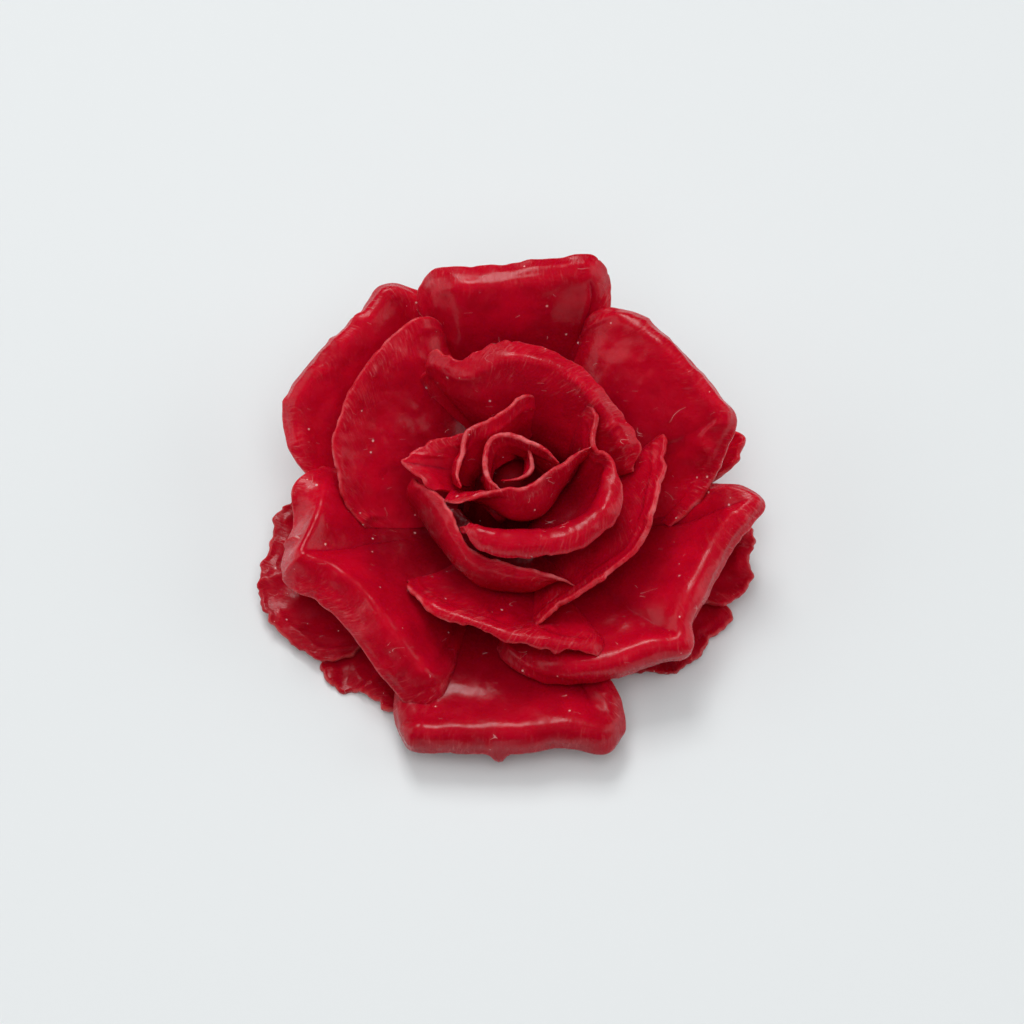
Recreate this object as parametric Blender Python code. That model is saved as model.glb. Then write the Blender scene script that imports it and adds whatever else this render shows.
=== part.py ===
"""Red rose head dipped in wax, lying face up on its leafy collar.

Every petal and every collar leaf is one closed shell of wax-coated tissue.  It starts at its seat
on the hip, rises along a smooth blade to a crest and, on most petals, rolls over into a margin.
A shell is described by a few points along its crest.

Axes: +X right, -Y front (the side where the petals hang lowest), +Z up.  The origin is the centre
of the flat cut face under the hip, level with the lowest edges of the collar.  All lengths in this
file are millimetres and all angles degrees, and the meshes are scaled to metres.
"""
import math
from dataclasses import dataclass

import bpy
from mathutils import Quaternion, Vector
from mathutils.bvhtree import BVHTree

MM = 0.001

# Driving dimensions.
WAX_PETAL = 1.0         # thickness of a petal with its wax
WAX_LEAF = 0.9          # thickness of a collar leaf with its wax
CLEARANCE = 0.32        # room between two pieces
STUB_RADIUS = 4.0       # cut stem under the hip
STUB_HEIGHT = 1.5
HIP_RADIUS = 9.0        # widest part of the hip
HIP_WAIST = 6.0         # height of the widest part
HIP_DOME = 16.0         # height of the dome above that
COLLAR_SEAT = 104.0     # seat of the collar leaves, just under the widest part

# Resolution of the shells.
COLUMNS = 15
ROWS = 9
TURN_WEIGHT = 3.0       # how strongly grid lines gather where a curve bends, in mm per radian
MILD_FLARE = 40.0       # flares between which a blade takes on its shell's fullness
STEEP_FLARE = 100.0
SKIRT_FADE = 6              # how late a straight margin shortens towards its ends
CURVE_STEPS = 16        # samples on each stretch of a curve before grid lines are placed on it

# Moving the shells clear of each other.
SEARCH = 2.5            # how deep inside a neighbour a place may start
ROLLED = 5.0            # downward slope past which a margin counts as rolled over
LONGEST_PUSH = 0.8      # largest step in one pass
FACING = 0.8            # share of a distance along the normal for a place to face a surface
SMOOTHING = 0.3         # how far a move is drawn towards the moves around it
SMOOTH_PASSES = 24
PLAIN_PASSES = 10

UP = Vector((0.0, 0.0, 1.0))
PETAL_RED = (0.40, 0.004, 0.012, 1.0)
LEAF_RED = (0.33, 0.004, 0.014, 1.0)
HIP_RED = (0.28, 0.006, 0.014, 1.0)


@dataclass(frozen=True)
class Shell:
    """One petal or leaf.

    Each crest point is (azimuth, radius, height, flare, curl), counter-clockwise seen from above.
    Flare is the slope of the blade where its margin starts to roll.  Curl is the slope below the
    horizontal where the roll ends.  It is negative where the edge still rises, and below -flare
    the margin bends in towards the bud.  The point is the highest one of the margin there.
    """

    name: str
    crest: tuple
    seat: float             # place of the foot on the hip, from 0 at its top to 90 at its widest part
    claw: float             # width of the foot, as an angle on the hip
    lift: float             # slope of the blade where it leaves the hip
    roll: float = 1.5       # radius of the margin's roll
    skirt: float = 0.0      # straight length of the margin beyond the roll
    fullness: float = 1.0   # how far the blade bows between hip and crest where it is steep
    fan: float = 25.0       # how far the two sides of the blade first spread apart
    square: float = 0.6     # 0 rolls the margin straight away from the hip, 1 square to its edge
    wax: float = WAX_PETAL


BUD = (
    Shell("bud_petal_heart", (
        (-110, 2.2, 25, 85, -80), (-60, 2.6, 25.5, 85, -80), (-10, 2.8, 26, 85, -80),
        (40, 2.2, 26.5, 85, -80), (90, 1.6, 26, 85, -80)),
        seat=9, claw=160, lift=70),
    Shell("bud_petal_centre", (
        (11, 4.9, 27, 84, -80), (45, 4.1, 27.8, 84, -80), (92, 4.5, 28, 80, -76),
        (125, 5.3, 27.6, 80, -76), (145, 5.5, 27.3, 80, -76), (165, 5.0, 27, 82, -78),
        (195, 4.4, 26.6, 84, -80), (240, 3.4, 26.2, 88, -80)),
        seat=19, claw=150, lift=60),
    Shell("bud_petal_back", (
        (68, 12.2, 27.4, 52, -42), (80, 11.8, 27.8, 50, -40), (93, 10.3, 28, 50, -40),
        (110, 8.8, 27.8, 50, -40), (128, 8.7, 27.6, 50, -40), (145, 9.9, 27.4, 50, -40),
        (160, 10, 26.8, 52, -42), (174, 10, 26.4, 54, -44), (187, 9.7, 25.8, 60, -50)),
        seat=31, claw=110, lift=55, roll=1.0),
    Shell("bud_petal_front", (
        (207, 9.9, 25.8, 96, -90), (218, 8.7, 26.4, 106, -100), (234, 6.6, 27, 114, -108),
        (283, 5.6, 27.4, 118, -112), (331, 6, 28, 114, -108), (363, 7.8, 28, 104, -98),
        (371, 10, 28, 96, -90)),
        seat=31, claw=130, lift=10, fullness=2.2),
    Shell("bud_wrap_right", (
        (229, 12.6, 22.4, 86, -60), (237, 12.5, 23.4, 94, 0), (246, 12.6, 23.9, 100, 60),
        (258, 12.8, 24, 100, 75), (275, 13, 24, 100, 75), (294, 14.2, 24, 98, 75),
        (312, 15.4, 24, 96, 75), (327, 16.4, 24.4, 94, 70), (342, 16.8, 24.8, 92, 50),
        (353, 16.8, 25.4, 90, 10), (361, 16.2, 25.8, 90, -40), (366, 14.8, 26.3, 90, -60),
        (366.5, 13.2, 26.8, 90, -80), (371, 12.7, 27.2, 90, -80), (379, 13.5, 27.6, 84, -76),
        (390, 14.8, 28.2, 74, -66), (405, 14.8, 28, 66, -56)),
        seat=43, claw=90, lift=30, roll=2.3),
    Shell("bud_petal_left", (
        (146, 10.8, 23.6, 34, -24), (155, 13, 24.2, 24, -14), (164.5, 16, 24.4, 14, -4),
        (171.5, 18, 24.3, 10, 0), (176, 18.8, 24, 10, 0), (180.5, 17.4, 23.8, 14, -4),
        (186, 14.4, 23.4, 22, -12), (194, 12, 22.6, 30, -20)),
        seat=44, claw=50, lift=76, roll=1.0),
    Shell("bud_wrap_left", (
        (177, 16.4, 20, 76, -90), (181, 16.4, 21.6, 84, -120), (187, 15.6, 23.2, 92, -145),
        (194, 14.2, 24.2, 98, -155), (206, 13.1, 24.6, 100, -158), (220, 13, 24.2, 100, -158),
        (234, 13.7, 22.8, 100, -158), (248, 15, 21, 98, -156), (265, 15.2, 20.6, 96, -154),
        (282, 15.8, 20.2, 88, -140), (292, 16.8, 19.4, 76, -110), (299, 18.2, 18, 62, -70)),
        seat=57, claw=76, lift=-10, roll=3.0, fullness=2.6, fan=30, square=0.0),
)

MIDDLE = (
    Shell("middle_petal_back", (
        (4, 18.6, 22.2, 50, -12), (14, 18, 25.4, 50, 10), (35, 15.9, 28.4, 50, 12),
        (52, 16.1, 30.2, 48, 12), (72, 16.8, 31.2, 46, 12), (93, 17.6, 31.2, 46, 10),
        (106, 17, 30.2, 46, 6), (116, 16.8, 29.2, 44, 0), (121.5, 18, 28.6, 42, -12),
        (125, 21, 28, 38, -24), (127, 23.2, 26.6, 36, -28), (132, 22.6, 22.4, 36, -28)),
        seat=60, claw=76, lift=76, roll=1.2, skirt=3.0),
    Shell("middle_petal_right", (
        (277, 22.8, 14.2, 44, -38), (286, 22, 16.4, 50, -30), (310, 22, 18, 54, -44),
        (332, 23.8, 20, 54, -44), (350, 24, 22.5, 54, -44), (362, 24.4, 24, 56, -46),
        (373, 25, 25, 56, -46), (378, 23.6, 21.5, 60, -54)),
        seat=70, claw=62, lift=45),
    Shell("middle_petal_front", (
        (216, 21.5, 12.4, 44, -34), (224, 23.4, 14.4, 46, -20), (235, 24.6, 15.2, 50, 20),
        (244, 24.9, 15.8, 52, 55), (258, 25.3, 16.1, 50, 60), (271, 26.9, 16.1, 48, 60),
        (284, 28, 16, 46, 60), (297, 30, 15.7, 42, 55), (301.5, 30.2, 14.6, 36, 0)),
        seat=75, claw=40, lift=4, roll=0.8, skirt=0.3),
)

OUTER = (
    Shell("outer_petal_left_inner", (
        (115, 29.6, 24.8, 44, -35), (117.5, 31.2, 26.8, 42, -25), (122, 31.8, 27.8, 40, -15),
        (131, 32, 27.2, 40, -10), (143, 31.8, 25.4, 40, -10), (156.5, 31.8, 22.8, 38, -10),
        (166.5, 31.4, 20.4, 38, -10), (173, 30.2, 18.6, 36, -15), (182, 28, 16.2, 36, -25),
        (190, 25, 13, 34, -30)),
        seat=71, claw=50, lift=4, roll=3.0),
    Shell("outer_petal_right_back", (
        (-5, 26, 11, 30, -25), (2, 29, 13, 34, -15), (8, 31.6, 16, 38, 5),
        (11.5, 33, 19.4, 42, 25), (14.5, 34.8, 22.4, 44, 42), (17.5, 36, 24, 44, 50),
        (21, 35.2, 25, 44, 50), (27, 34.4, 26.2, 44, 50), (36, 33.4, 27.4, 44, 50),
        (46, 32.8, 28.2, 44, 48), (56, 32.4, 28.2, 44, 40), (62, 31.6, 26.6, 44, 0),
        (67, 30.4, 23.6, 46, -36)),
        seat=75, claw=50, lift=45, roll=1.3, skirt=2.4),
    Shell("outer_petal_left_front", (
        (168, 29, 18, 36, -25), (178, 30, 20, 34, 0), (187, 31, 19.6, 32, 45),
        (194, 34, 18.4, 30, 55), (199, 36.6, 17.2, 30, 60), (204, 33.4, 16.4, 30, 52),
        (217, 30.6, 15.4, 30, 50), (230, 31.6, 14.2, 30, 50), (238, 33.2, 13, 30, 52),
        (243.5, 34, 12.2, 28, 50), (246.5, 33, 10.8, 26, 35), (250, 29.6, 9, 20, -5)),
        seat=80, claw=44, lift=8, roll=0.9, skirt=6.4),
    Shell("outer_petal_right_front", (
        (262, 24, 8.6, 20, 0), (270, 26.6, 10.4, 26, 25), (280, 29.2, 11.8, 30, 60),
        (290, 31.4, 12.8, 34, 85), (301, 33.1, 13, 34, 95), (311, 35, 13.5, 36, 95),
        (316.5, 37.2, 13.3, 36, 95), (321, 34.8, 14, 36, 95), (328, 33.8, 15, 36, 80),
        (340, 33.6, 15, 38, 60), (348, 34.8, 16, 38, 55), (354, 37, 17.4, 38, 55),
        (357.5, 38.8, 17.8, 38, 50), (361, 36, 17, 36, 20), (366, 32, 14, 34, -20),
        (370, 29, 11, 30, -26)),
        seat=80, claw=56, lift=14, roll=1.8, skirt=2.2, square=0.4),
    Shell("outer_petal_back", (
        (60, 32, 22.4, 54, -40), (65, 34.4, 27.4, 52, -10), (68.5, 35, 31.8, 50, 4),
        (72, 34.9, 34, 50, 8), (79, 33.2, 33.8, 50, 8), (88.5, 31.6, 33.2, 50, 8),
        (100, 31.6, 32.6, 50, 8), (109, 33, 32.2, 50, 8), (113, 33.8, 30.4, 50, 4),
        (116.5, 34.4, 26.6, 52, -10), (121, 32.8, 22, 54, -40)),
        seat=80, claw=56, lift=18, roll=1.4, skirt=3.8, fan=12, square=0.2),
    Shell("outer_petal_front", (
        (237, 31, 5.2, 12, 0), (241, 36, 6.2, 20, 40), (245, 40, 7.6, 26, 65),
        (248.5, 42.2, 8.7, 28, 75), (256, 41, 9, 28, 75), (270, 39.9, 9, 28, 75),
        (284, 39.9, 9, 28, 75), (289, 41.6, 8.6, 28, 75), (292, 40.4, 7.8, 26, 65),
        (294, 37, 7.2, 20, 35), (297, 32, 6.6, 12, 0)),
        seat=86, claw=32, lift=-6, roll=1.8, skirt=3.0),
    Shell("outer_petal_left_back", (
        (112, 34.4, 21.5, 42, -35), (117, 36.6, 25.8, 42, 10), (123, 38.8, 27, 42, 45),
        (131, 37.8, 26, 40, 45), (140, 38.2, 24.2, 40, 45), (149, 39.2, 21.8, 40, 45),
        (156, 40.2, 19.4, 40, 45), (160, 39, 17.6, 38, 45), (165.5, 36.6, 15.3, 36, 30),
        (171, 34.2, 13.2, 34, 0), (177, 31.4, 11, 30, -25)),
        seat=86, claw=38, lift=24, roll=1.4, skirt=2.4),
)

COLLAR = (
    Shell("collar_leaf_right_back", (
        (9, 28, 7, 14, -14), (11, 34.4, 9.5, 24, -24), (14, 39.4, 11.4, 32, -32),
        (18, 41.2, 12, 34, -34), (22, 40.2, 12.4, 34, -34), (27, 36.4, 11, 28, -28),
        (33, 32, 8, 18, -18)),
        seat=COLLAR_SEAT, claw=20, lift=-4, fan=10, wax=WAX_LEAF),
    Shell("collar_leaf_right", (
        (335, 34, 4, 4, -4), (338, 38.8, 4.4, 8, -8), (345, 41.4, 5, 10, -10),
        (350, 40.4, 5.8, 12, -12), (355, 41.2, 6.2, 14, -14), (360, 39.6, 6.4, 14, -14),
        (365, 37, 6, 10, -10), (368, 31, 5, 4, -4)),
        seat=COLLAR_SEAT, claw=18, lift=4, wax=WAX_LEAF),
    Shell("collar_leaf_left", (
        (162, 33, 5, 0, 0), (172, 37, 6, 8, -8), (178, 41.3, 5.5, 10, -10),
        (183, 41, 4.5, 8, -8), (190, 43.8, 3.8, 6, -6), (200, 45.4, 3, 4, -4),
        (208, 43.6, 2.4, 2, -2), (216, 41.4, 2.2, 0, 0), (221, 36, 2.2, 0, 0)),
        seat=COLLAR_SEAT, claw=34, lift=0, wax=WAX_LEAF),
    Shell("collar_leaf_left_front", (
        (214, 34, 0.6, 0, 0), (217, 40.5, 0.6, 0, 0), (224, 41.8, 0.6, 0, 0),
        (230, 39, 1, 4, -4), (238, 39.4, 1.6, 8, -8), (243, 37.5, 1.6, 8, -8),
        (247, 31, 1.2, 0, 0)),
        seat=COLLAR_SEAT, claw=18, lift=-24, fan=10, wax=WAX_LEAF),
    Shell("collar_leaf_right_front", (
        (296, 26, 0.6, 0, 0), (302, 30.5, 0.6, 0, 0), (309, 33, 0.6, 0, 0),
        (316, 37, 1, 2, -2), (321, 38.6, 1.4, 4, -4), (329, 38.8, 1.6, 4, -4),
        (338, 39.6, 2, 4, -4), (343, 35, 1.6, 0, 0)),
        seat=COLLAR_SEAT, claw=22, lift=-24, fan=10, wax=WAX_LEAF),
    Shell("collar_leaf_back", (
        (48, 28, 1, 0, 0), (54, 34, 0.6, 0, 0), (64, 36.5, 0.6, 0, 0),
        (75, 35.4, 1, 2, -2), (86, 37.6, 0.8, 0, 0), (97, 35.6, 0.6, 0, 0),
        (104, 30, 1, 0, 0)),
        seat=COLLAR_SEAT, claw=50, lift=-12, fan=50, wax=WAX_LEAF),
    Shell("collar_leaf_left_back", (
        (112, 29, 1, 0, 0), (117, 35, 0.6, 0, 0), (126, 38, 0.6, 0, 0),
        (136, 36.6, 1.4, 4, -4), (146, 38.6, 1.8, 6, -6), (154, 36.4, 2.2, 6, -6),
        (158, 31, 2.2, 2, -2)),
        seat=COLLAR_SEAT, claw=42, lift=-12, fan=50, wax=WAX_LEAF),
)


def polar(azimuth, radius, height):
    """Point at an azimuth in degrees, a radius and a height."""
    angle = math.radians(azimuth)
    return Vector((radius * math.cos(angle), radius * math.sin(angle), height))


def slope_vector(outward, slope):
    """Unit vector that rises by slope degrees while it runs along the horizontal unit outward."""
    angle = math.radians(slope)
    return outward * math.cos(angle) + UP * math.sin(angle)


def hip_surface(seat):
    """Radius and height of a place on the hip, and the upward slope of the line square to it."""
    if seat <= 90.0:
        sine, cosine = math.sin(math.radians(seat)), math.cos(math.radians(seat))
        slope = math.atan2(cosine * HIP_RADIUS, sine * HIP_DOME)
        return HIP_RADIUS * sine, HIP_WAIST + HIP_DOME * cosine, slope
    cone_r = HIP_RADIUS - STUB_RADIUS
    cone_z = HIP_WAIST - STUB_HEIGHT
    share = seat / 90.0 - 1.0
    return HIP_RADIUS - cone_r * share, HIP_WAIST - cone_z * share, -math.atan2(cone_r, cone_z)


def foot_point(shell, azimuth):
    """Where the middle of a shell's thickness meets the hip, with room between the two."""
    radius, height, slope = hip_surface(shell.seat)
    offset = CLEARANCE + 0.45 * shell.wax
    return polar(azimuth, radius + offset * math.cos(slope), height + offset * math.sin(slope))


def catmull_rom(points, steps):
    """Samples of a smooth curve through points, which are tuples of any length.

    The first three numbers of a point are its place, and their distances pace the curve.
    """
    ends = [tuple(2 * a - b for a, b in zip(points[0], points[1]))]
    ends.append(tuple(2 * a - b for a, b in zip(points[-1], points[-2])))
    chain = [ends[0], *points, ends[1]]
    knots = [0.0]
    for before, after in zip(chain, chain[1:]):
        knots.append(knots[-1] + max(math.dist(before[:3], after[:3]), 1e-6) ** 0.5)

    def between(p, q, start, stop, t):
        share = (t - start) / (stop - start)
        return tuple(a + (b - a) * share for a, b in zip(p, q))

    samples = []
    for i in range(1, len(chain) - 2):
        for step in range(steps + (i == len(chain) - 3)):
            t = knots[i] + (knots[i + 1] - knots[i]) * step / steps
            a1 = between(chain[i - 1], chain[i], knots[i - 1], knots[i], t)
            a2 = between(chain[i], chain[i + 1], knots[i], knots[i + 1], t)
            a3 = between(chain[i + 1], chain[i + 2], knots[i + 1], knots[i + 2], t)
            b1 = between(a1, a2, knots[i - 1], knots[i + 1], t)
            b2 = between(a2, a3, knots[i], knots[i + 2], t)
            samples.append(between(b1, b2, knots[i], knots[i + 1], t))
    return samples


def spread(samples, count, turn_weight=TURN_WEIGHT):
    """Picks count points along a sampled curve, closer together where it bends."""
    places = [Vector(sample[:3]) for sample in samples]
    way = [0.0]
    for i in range(1, len(places)):
        leg = places[i] - places[i - 1]
        turn = 0.0
        if i > 1:
            turn = leg.angle(places[i - 1] - places[i - 2], 0.0)
        way.append(way[-1] + leg.length + turn_weight * turn)
    picked = []
    i = 0
    for step in range(count):
        target = way[-1] * step / (count - 1)
        while i < len(way) - 2 and way[i + 1] < target:
            i += 1
        share = (target - way[i]) / (way[i + 1] - way[i])
        picked.append(tuple(a + (b - a) * share for a, b in zip(samples[i], samples[i + 1])))
    return picked


def hermite(start, leave, end, arrive, steps):
    """Samples of a curve between two places with given tangent vectors, without the last one."""
    samples = []
    for step in range(steps):
        t = step / steps
        samples.append(
            start * (2 * t ** 3 - 3 * t ** 2 + 1) + leave * (t ** 3 - 2 * t ** 2 + t)
            + end * (3 * t ** 2 - 2 * t ** 3) + arrive * (t ** 3 - t ** 2))
    return samples


def profile(shell, crest, foot, outward, share):
    """Samples from the foot to the free edge of one column of a shell, as (x, y, z, rolled).

    Share runs from 0 at the first side of the shell to 1 at the last.  Rolled is 1 where the
    margin has turned over and runs down, and 0 before that.
    """
    flare, curl = crest[3], crest[4]
    top_slope = max(0.0, -curl)
    peak = Vector(crest[:3])
    radius = math.copysign(shell.roll, flare + curl)

    def on_roll(slope):
        run = math.sin(math.radians(top_slope)) - math.sin(math.radians(slope))
        rise = math.cos(math.radians(slope)) - math.cos(math.radians(top_slope))
        return peak + outward * radius * run + UP * radius * rise

    blade_end = on_roll(flare)
    steep = min(1.0, max(0.0, (flare - MILD_FLARE) / (STEEP_FLARE - MILD_FLARE)))
    reach = (blade_end - foot).length * (1.0 + (shell.fullness - 1.0) * steep)
    run = Vector((blade_end.x - foot.x, blade_end.y - foot.y, 0.0)).normalized()
    arrive = slope_vector((run + outward * shell.square).normalized(), flare) * reach
    run.rotate(Quaternion(UP, math.radians(shell.fan) * (2 * share - 1)))
    leave = slope_vector(run, shell.lift) * reach
    blade = hermite(foot, leave, blade_end, arrive, CURVE_STEPS)
    samples = [(*place, 0.0) for place in blade]
    for step in range(CURVE_STEPS + 1):
        slope = flare - (flare + curl) * step / CURVE_STEPS
        samples.append((*on_roll(slope), float(slope < -ROLLED)))
    skirt = shell.skirt * (1.0 - abs(2 * share - 1) ** SKIRT_FADE)
    if skirt > 0.0:
        edge = Vector(samples[-1][:3]) + slope_vector(outward, -curl) * skirt
        samples.append((*edge, samples[-1][3]))
    return samples


def middle_surface(shell, columns=COLUMNS, rows=ROWS):
    """Grid of places halfway through the shell's thickness, [column][row from foot to edge].

    The second result tells for each of them whether the margin has rolled over there.
    """
    cells = [(*polar(*point[:3]), *point[3:]) for point in shell.crest]
    crest = spread(catmull_rom(cells, CURVE_STEPS), columns)
    first, last = shell.crest[0][0], shell.crest[-1][0]
    centre = (first + last) / 2
    grid = []
    rolled = []
    for i, point in enumerate(crest):
        share = i / (columns - 1)
        foot = foot_point(shell, centre + (share - 0.5) * shell.claw)
        before = Vector(crest[max(i - 1, 0)][:3])
        after = Vector(crest[min(i + 1, columns - 1)][:3])
        along = after - before
        square = Vector((along.y, -along.x, 0.0)).normalized()
        away = Vector((point[0] - foot.x, point[1] - foot.y, 0.0)).normalized()
        outward = (square * shell.square + away * (1 - shell.square)).normalized()
        column = spread(profile(shell, point, foot, outward, share), rows)
        grid.append([Vector(place[:3]) for place in column])
        rolled.append([place[3] > 0.5 for place in column])
    return grid, rolled


def grid_normals(grid):
    """Unit normals of a grid on its outer side, the side away from the bud."""
    columns, rows = len(grid), len(grid[0])
    normals = []
    for i in range(columns):
        line = []
        for j in range(rows):
            across = grid[min(i + 1, columns - 1)][j] - grid[max(i - 1, 0)][j]
            along = grid[i][min(j + 1, rows - 1)] - grid[i][max(j - 1, 0)]
            line.append(across.cross(along).normalized())
        normals.append(line)
    return normals


def grid_tree(grid):
    """Search tree over the triangles of a grid, with its normals on the outer side."""
    columns, rows = len(grid), len(grid[0])
    places = [place for line in grid for place in line]
    faces = []
    for i in range(columns - 1):
        for j in range(rows - 1):
            a, b = i * rows + j, (i + 1) * rows + j
            faces.append((a, b, b + 1))
            faces.append((a, b + 1, a + 1))
    return BVHTree.FromPolygons(places, faces)


def probe_corners(columns, rows):
    """Corner lists whose means probe a grid: its places and the middles of its edges and faces."""
    probes = []
    for i in range(columns):
        for j in range(1, rows):
            probes.append(((i, j),))
            if i + 1 < columns:
                probes.append(((i, j), (i + 1, j)))
            if j + 1 < rows:
                probes.append(((i, j), (i, j + 1)))
            if i + 1 < columns and j + 1 < rows:
                probes.append(((i, j), (i + 1, j + 1)))
    return probes


def probe_places(grid, probes):
    """The place of every probe on a grid."""
    return [sum((grid[i][j] for i, j in corners), Vector()) / len(corners) for corners in probes]


def face_cell(face, rows):
    """Column and row of the cell that a triangle of grid_tree belongs to."""
    return divmod(face // 2, rows - 1)


def outward_pushes(grid, rolled, wax, placed):
    """How far each place of a grid has to move to clear the shells in placed, by column and row."""
    columns, rows = len(grid), len(grid[0])
    pushes = [[Vector() for _ in range(rows)] for _ in range(columns)]

    def ask(corners, direction, lack):
        for i, j in corners:
            if j > 0 and lack > pushes[i][j].length:
                pushes[i][j] = direction * min(lack, LONGEST_PUSH)

    own_tree = grid_tree(grid)
    probes = probe_corners(columns, rows)
    places = probe_places(grid, probes)
    for other_places, other_rolled, tree, other_wax in placed:
        room = (wax + other_wax) / 2 + CLEARANCE
        for corners, place in zip(probes, places):
            near, normal, face, distance = tree.find_nearest(place, room + SEARCH)
            if near is None:
                continue
            i, j = face_cell(face, rows)
            side = (place - near).dot(normal)
            if abs(side) <= FACING * distance:
                away = (place - near + normal * (room / 2)).normalized()
                ask(corners, away, room - distance)
            elif side < 0.0 and other_rolled[i][j + 1]:
                ask(corners, -normal, room + side)
            else:
                ask(corners, normal, room - side)
        for place in other_places:
            near, normal, face, distance = own_tree.find_nearest(place, room)
            if near is None:
                continue
            i, j = face_cell(face, rows)
            corners = ((i, j), (i + 1, j), (i, j + 1), (i + 1, j + 1))
            side = (near - place).dot(normal)
            if side < 0.0 and rolled[i][j + 1]:
                normal, side = -normal, -side
            if side > FACING * distance:
                ask(corners, normal, room - side)
    return pushes


def smoothed(moves):
    """Moves of a grid, each drawn towards those around it.  The foot of the grid stays."""
    columns, rows = len(moves), len(moves[0])
    result = [line[:] for line in moves]
    for i in range(columns):
        for j in range(1, rows):
            around = [
                moves[k][m] for k, m in ((i - 1, j), (i + 1, j), (i, j - 1), (i, j + 1))
                if 0 <= k < columns and m < rows]
            mean = sum(around, Vector()) / len(around)
            result[i][j] = moves[i][j].lerp(mean, SMOOTHING)
    return result


def clear_of_hip(place, wax):
    """The place moved out of the hip's round body, and up from the surface below."""
    room = HIP_RADIUS + wax / 2 + CLEARANCE
    stretch = HIP_DOME / HIP_RADIUS
    away = Vector((place.x, place.y, max(place.z - HIP_WAIST, 0.0) / stretch))
    if away.length < room:
        away *= room / away.length
        place = Vector((away.x, away.y, min(place.z, HIP_WAIST) + away.z * stretch))
    return Vector((place.x, place.y, max(place.z, wax / 2)))


def keep_clear(grid, rolled, wax, placed):
    """Moves a grid outwards until it clears the hip and the shells that were placed before it."""
    columns, rows = len(grid), len(grid[0])
    moves = [[Vector() for _ in range(rows)] for _ in range(columns)]
    moved = grid
    for turn in range(SMOOTH_PASSES + PLAIN_PASSES):
        pushes = outward_pushes(moved, rolled, wax, placed)
        for i in range(columns):
            for j in range(1, rows):
                moves[i][j] = moves[i][j] + pushes[i][j]
        if turn < SMOOTH_PASSES:
            moves = smoothed(moves)
        moved = [line[:] for line in grid]
        for i in range(columns):
            for j in range(1, rows):
                moved[i][j] = clear_of_hip(grid[i][j] + moves[i][j], wax)
                moves[i][j] = moved[i][j] - grid[i][j]
    return moved


def thicken(grid, wax):
    """Vertices and faces of the closed shell around a grid."""
    columns, rows = len(grid), len(grid[0])
    normals = grid_normals(grid)
    vertices = []
    for side in (0.5, -0.5):
        for i in range(columns):
            for j in range(rows):
                place = grid[i][j] + normals[i][j] * (side * wax)
                place.z = max(place.z, 0.0)
                vertices.append(place * MM)
    inner = columns * rows

    def at(i, j):
        return i * rows + j

    faces = []
    for i in range(columns - 1):
        for j in range(rows - 1):
            a, b, c, d = at(i, j), at(i + 1, j), at(i + 1, j + 1), at(i, j + 1)
            faces.append((a, b, c, d))
            faces.append((inner + d, inner + c, inner + b, inner + a))
    border = [at(i, 0) for i in range(columns)]
    border += [at(columns - 1, j) for j in range(1, rows)]
    border += [at(i, rows - 1) for i in range(columns - 2, -1, -1)]
    border += [at(0, j) for j in range(rows - 2, 0, -1)]
    for a, b in zip(border, border[1:] + border[:1]):
        faces.append((b, a, inner + a, inner + b))
    return vertices, faces


def wax_material(name, colour):
    """Opaque satin wax."""
    material = bpy.data.materials.new(name)
    material.use_nodes = True
    shader = material.node_tree.nodes["Principled BSDF"]
    shader.inputs["Base Color"].default_value = colour
    shader.inputs["Roughness"].default_value = 0.35
    shader.inputs["Metallic"].default_value = 0.0
    material.diffuse_color = colour
    return material


def add_object(name, vertices, faces, colour):
    """Mesh object with its own material, shaded smooth."""
    mesh = bpy.data.meshes.new(name)
    mesh.from_pydata(vertices, [], faces)
    mesh.validate()
    mesh.materials.append(wax_material(name + "_wax", colour))
    mesh.shade_smooth()
    mesh.set_sharp_from_angle(angle=math.radians(50.0))
    thing = bpy.data.objects.new(name, mesh)
    bpy.context.collection.objects.link(thing)
    return thing


def add_hip():
    """Turned hip: cut stub, swelling underside and dome, with a flat face on the surface."""
    sides = 28
    dome_steps = 7
    outline = [(STUB_RADIUS, 0.0), (STUB_RADIUS, STUB_HEIGHT)]
    for step in range(dome_steps):
        angle = math.radians(90.0) * step / dome_steps
        outline.append((HIP_RADIUS * math.cos(angle), HIP_WAIST + HIP_DOME * math.sin(angle)))
    vertices = []
    for radius, height in outline:
        for k in range(sides):
            vertices.append(polar(360.0 * k / sides, radius, height) * MM)
    faces = [tuple(reversed(range(sides)))]
    for ring in range(len(outline) - 1):
        low, high = ring * sides, (ring + 1) * sides
        for k in range(sides):
            after = (k + 1) % sides
            faces.append((low + k, low + after, high + after, high + k))
    top = len(vertices)
    vertices.append(Vector((0.0, 0.0, HIP_WAIST + HIP_DOME)) * MM)
    high = (len(outline) - 1) * sides
    for k in range(sides):
        faces.append((high + k, high + (k + 1) % sides, top))
    return add_object("hip", vertices, faces, HIP_RED)


def add_shells():
    """All petals from the bud outwards and the collar under them, each clear of those before."""
    placed = []
    for group, colour in ((BUD, PETAL_RED), (MIDDLE, PETAL_RED), (OUTER, PETAL_RED), (COLLAR, LEAF_RED)):
        for shell in group:
            grid, rolled = middle_surface(shell)
            grid = keep_clear(grid, rolled, shell.wax, placed)
            places = probe_places(grid, probe_corners(COLUMNS, ROWS))
            placed.append((places, rolled, grid_tree(grid), shell.wax))
            vertices, faces = thicken(grid, shell.wax)
            add_object(shell.name, vertices, faces, colour)


def clear_scene():
    for thing in list(bpy.data.objects):
        bpy.data.objects.remove(thing, do_unlink=True)


def main():
    clear_scene()
    add_hip()
    add_shells()


main()
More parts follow.
